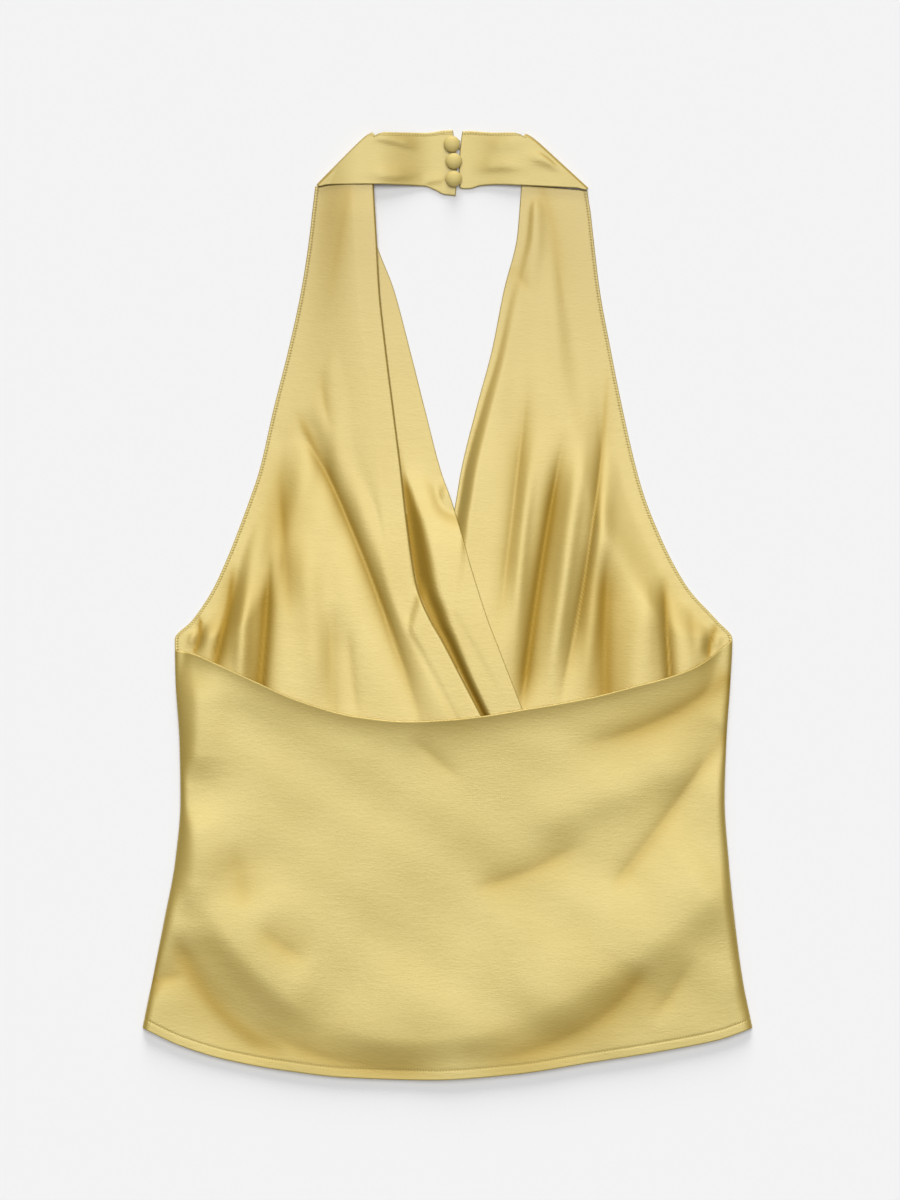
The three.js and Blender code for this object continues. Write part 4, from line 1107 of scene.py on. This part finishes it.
def satin(name, light, dark, roughness, neck_shade_share=0.0, metallic=0.3, shine=1.0):
    """Satin with painted shade: a warm darker colour in hollows and on steep slopes, and a darker colour
    towards the neck.
    """
    finish = Finish(name, Specular_IOR_Level=shine)
    clouds = finish.ramp(finish.noise(*CLOUDS), *CLOUDS_BETWEEN)
    grain = finish.ramp(finish.noise(*GRAIN), *GRAIN_BETWEEN)
    painted_shade = finish.attribute("painted_shade")
    colour = finish.blend(clouds * CLOUDS_SHARE, light, dark)
    colour = finish.blend(grain * GRAIN_SHARE, colour, dark)
    # Painted shade: satin turns darker towards the neck
    level = finish.node("SeparateXYZ", {}, {0: finish.place(NO_STRETCH)}, out="Y")
    colour = finish.blend(finish.ramp(level, *NECKWARDS_METRES) * neck_shade_share, colour, NECK_SHADE_COLOUR)
    # Painted shade: a warm darker colour in hollows, at the bottoms of creases and on steep slopes
    colour = finish.blend(finish.ramp(painted_shade, 0, 1), colour, PAINTED_SHADE_COLOUR)
    finish.fill(finish.shader, {
        "Base Color": colour,
        "Metallic": finish.ramp(painted_shade, 0, 1, metallic, metallic + PAINTED_SHADE_METALLIC),
        "Roughness": finish.ramp(painted_shade, 0, 1, roughness, roughness + PAINTED_SHADE_ROUGHNESS),
        "Normal": satin_relief(finish),
    })
    return finish.material


OUTER = satin("outer_satin", (0.53, 0.42, 0.125, 1), (0.48, 0.37, 0.088, 1), 0.40)
INNER = satin("inner_satin", (0.53, 0.413, 0.122, 1), (0.48, 0.362, 0.085, 1), 0.38, neck_shade_share=0.8)
BAND = satin("band_satin", (0.51, 0.405, 0.12, 1), (0.46, 0.355, 0.085, 1), 0.42, neck_shade_share=0.3)
BUTTON = satin("button_satin", (0.64, 0.51, 0.175, 1), (0.50, 0.38, 0.10, 1), 0.6, metallic=0.1, shine=0.5)
THREAD = satin("satin_thread", (0.51, 0.395, 0.10, 1), (0.45, 0.34, 0.08, 1), 0.5)
CORD = satin("rolled_cord", (0.46, 0.355, 0.08, 1), (0.41, 0.31, 0.06, 1), 0.5)


def left_painted_shade(points):
    """Painted shade in the hollows of the left front, and in the valley of the strip beside the pleat's
    edge.
    """
    x, y = points[..., 0], points[..., 1]
    past = (x - pleat_edge(y)) / valley_width(y)
    valley = valley_painted_shade(y) * smooth(*VALLEY_SHADE_FADES, past)
    return np.where(past < 0, painted_shade_of_folds(FOLDS_LEFT, x, y), valley)


# Panels, from the lowest up
right_points = right_front()
# Each panel's painted shade: a warm darker colour in its hollows
painted_shade_right = painted_shade_of_folds(FOLDS_RIGHT, right_points[..., 0], right_points[..., 1])
front_right, right_top, right_up = cloth("front_right_cloth", right_points, WALL, painted_shade_right, "last column")
finish_piece(front_right, INNER, "inner_satin", "front_right")
left_points = left_front()
painted_shade_left = left_painted_shade(left_points)
front_left, left_top, left_up = cloth("front_left_cloth", left_points, WALL, painted_shade_left, "first column")
finish_piece(front_left, INNER, "inner_satin", "front_left")
back_points = back_panel()
painted_shade_back = painted_shade_of_folds(FOLDS_BACK, back_points[..., 0], back_points[..., 1])
back, back_top, back_up = cloth("back_cloth", back_points, WALL, painted_shade_back, "last row", HEM_STITCH_FROM_EDGE)
finish_piece(back, OUTER, "outer_satin", "back_panel")

# Rows of stitches
at_armhole = STITCHED_EDGE.index(STITCH_FROM_EDGE)
at_hem = -1 - HEM_EDGE.index(HEM_STITCH_FROM_EDGE)
left_row = stitches("armhole_stitches_left", left_top[:, at_armhole], left_up[:, at_armhole])
right_row = stitches("armhole_stitches_right", right_top[:, -1 - at_armhole], right_up[:, -1 - at_armhole])
hem_row = stitches("hem_stitches", back_top[at_hem], back_up[at_hem])
finish_piece(left_row, THREAD, "inner_satin")
finish_piece(right_row, THREAD, "inner_satin")
finish_piece(hem_row, THREAD, "outer_satin")

# Halves of the neckband
at_band = -1 - BAND_EDGE.index(BAND_STITCH_FROM_EDGE)
for side, band in (("left", BAND_LEFT), ("right", BAND_RIGHT)):
    points = neckband(band)
    piece, top, up = cloth(f"neckband_{side}_cloth", points, BAND_WALL, 0, "last row", BAND_STITCH_FROM_EDGE)
    finish_piece(piece, BAND, "band_satin", f"neckband_{side}")
    row = stitches(f"neckband_stitches_{side}", top[at_band, BAND_FOLDED_TO:], up[at_band, BAND_FOLDED_TO:])
    finish_piece(row, THREAD, "band_satin")

# Buttons and loops
for which, (x, y) in BUTTONS.items():
    button = covered_button(f"covered_button_{which}", x, y)
    finish_piece(button, BUTTON, "button_satin", f"button_{which}")
    loop = cord_loop(f"cord_loop_{which}", x, y)
    finish_piece(loop, CORD, "loop_cord", f"button_loop_{which}")

# Camera, straight above a point on the garment. The picture's height is what it sees at the cloth's middle.
PICTURE_MIDDLE = (1.84, 3.86)
PICTURE_HEIGHT = 882
CLOTH_MIDDLE = 5
LENS = 100
SENSOR = 36

# Floor and lights, in metres
FLOOR_REACH = 6.0
FLOOR_BELOW = 0.0002
CAMERA_SEES_TO = 50
WORLD_STRENGTH = 0.20

# Each light's name, the place it shines from, how wide it looks in degrees, and its strength
LIGHTS = [
    ("overhead", (0, 1.0, 4.0), 46, 1.85),
    ("from_above_the_neck", (0, 3.0, 1.1), 30, 2.5),
]


def floor():
    mesh = bpy.data.meshes.new("floor")
    corners = [(x * FLOOR_REACH, y * FLOOR_REACH, 0) for x, y in ((-1, -1), (1, -1), (1, 1), (-1, 1))]
    mesh.from_pydata(corners, [], [(0, 1, 2, 3)])
    ground = bpy.data.objects.new("floor", mesh)
    ground.location.z = -FLOOR_BELOW
    bpy.context.scene.collection.objects.link(ground)
    pale = Finish("pale_floor", Base_Color=(0.86, 0.86, 0.865, 1), Roughness=0.9, Specular_IOR_Level=0.1)
    mesh.materials.append(pale.material)


def soft_light(name, place, spread, strength):
    """A soft light that shines from a place to the middle of the floor, as if from far away, so that the
    floor is lit evenly."""
    light = bpy.data.lights.new(name, "SUN")
    light.angle = math.radians(spread)
    light.energy = strength
    lamp = bpy.data.objects.new(name, light)
    lamp.location = place
    aim = -lamp.location
    lamp.rotation_mode = "QUATERNION"
    lamp.rotation_quaternion = aim.to_track_quat("-Z", "Y")
    bpy.context.scene.collection.objects.link(lamp)


def white_world():
    world = bpy.data.worlds.new("studio")
    world.use_nodes = True
    background = world.node_tree.nodes["Background"]
    background.inputs["Color"].default_value = (1, 1, 1, 1)
    background.inputs["Strength"].default_value = WORLD_STRENGTH
    bpy.context.scene.world = world


def camera():
    view = bpy.data.cameras.new("camera")
    view.lens = LENS
    view.sensor_width = SENSOR
    view.clip_end = CAMERA_SEES_TO
    held = bpy.data.objects.new("camera", view)
    distance = PICTURE_HEIGHT * LENS / SENSOR
    x, y = PICTURE_MIDDLE
    held.location = (x * MM, y * MM, (distance + CLOTH_MIDDLE) * MM)
    bpy.context.scene.collection.objects.link(held)
    bpy.context.scene.camera = held


floor()
white_world()
for light in LIGHTS:
    soft_light(*light)
camera()
bpy.context.scene.view_settings.view_transform = "Standard"
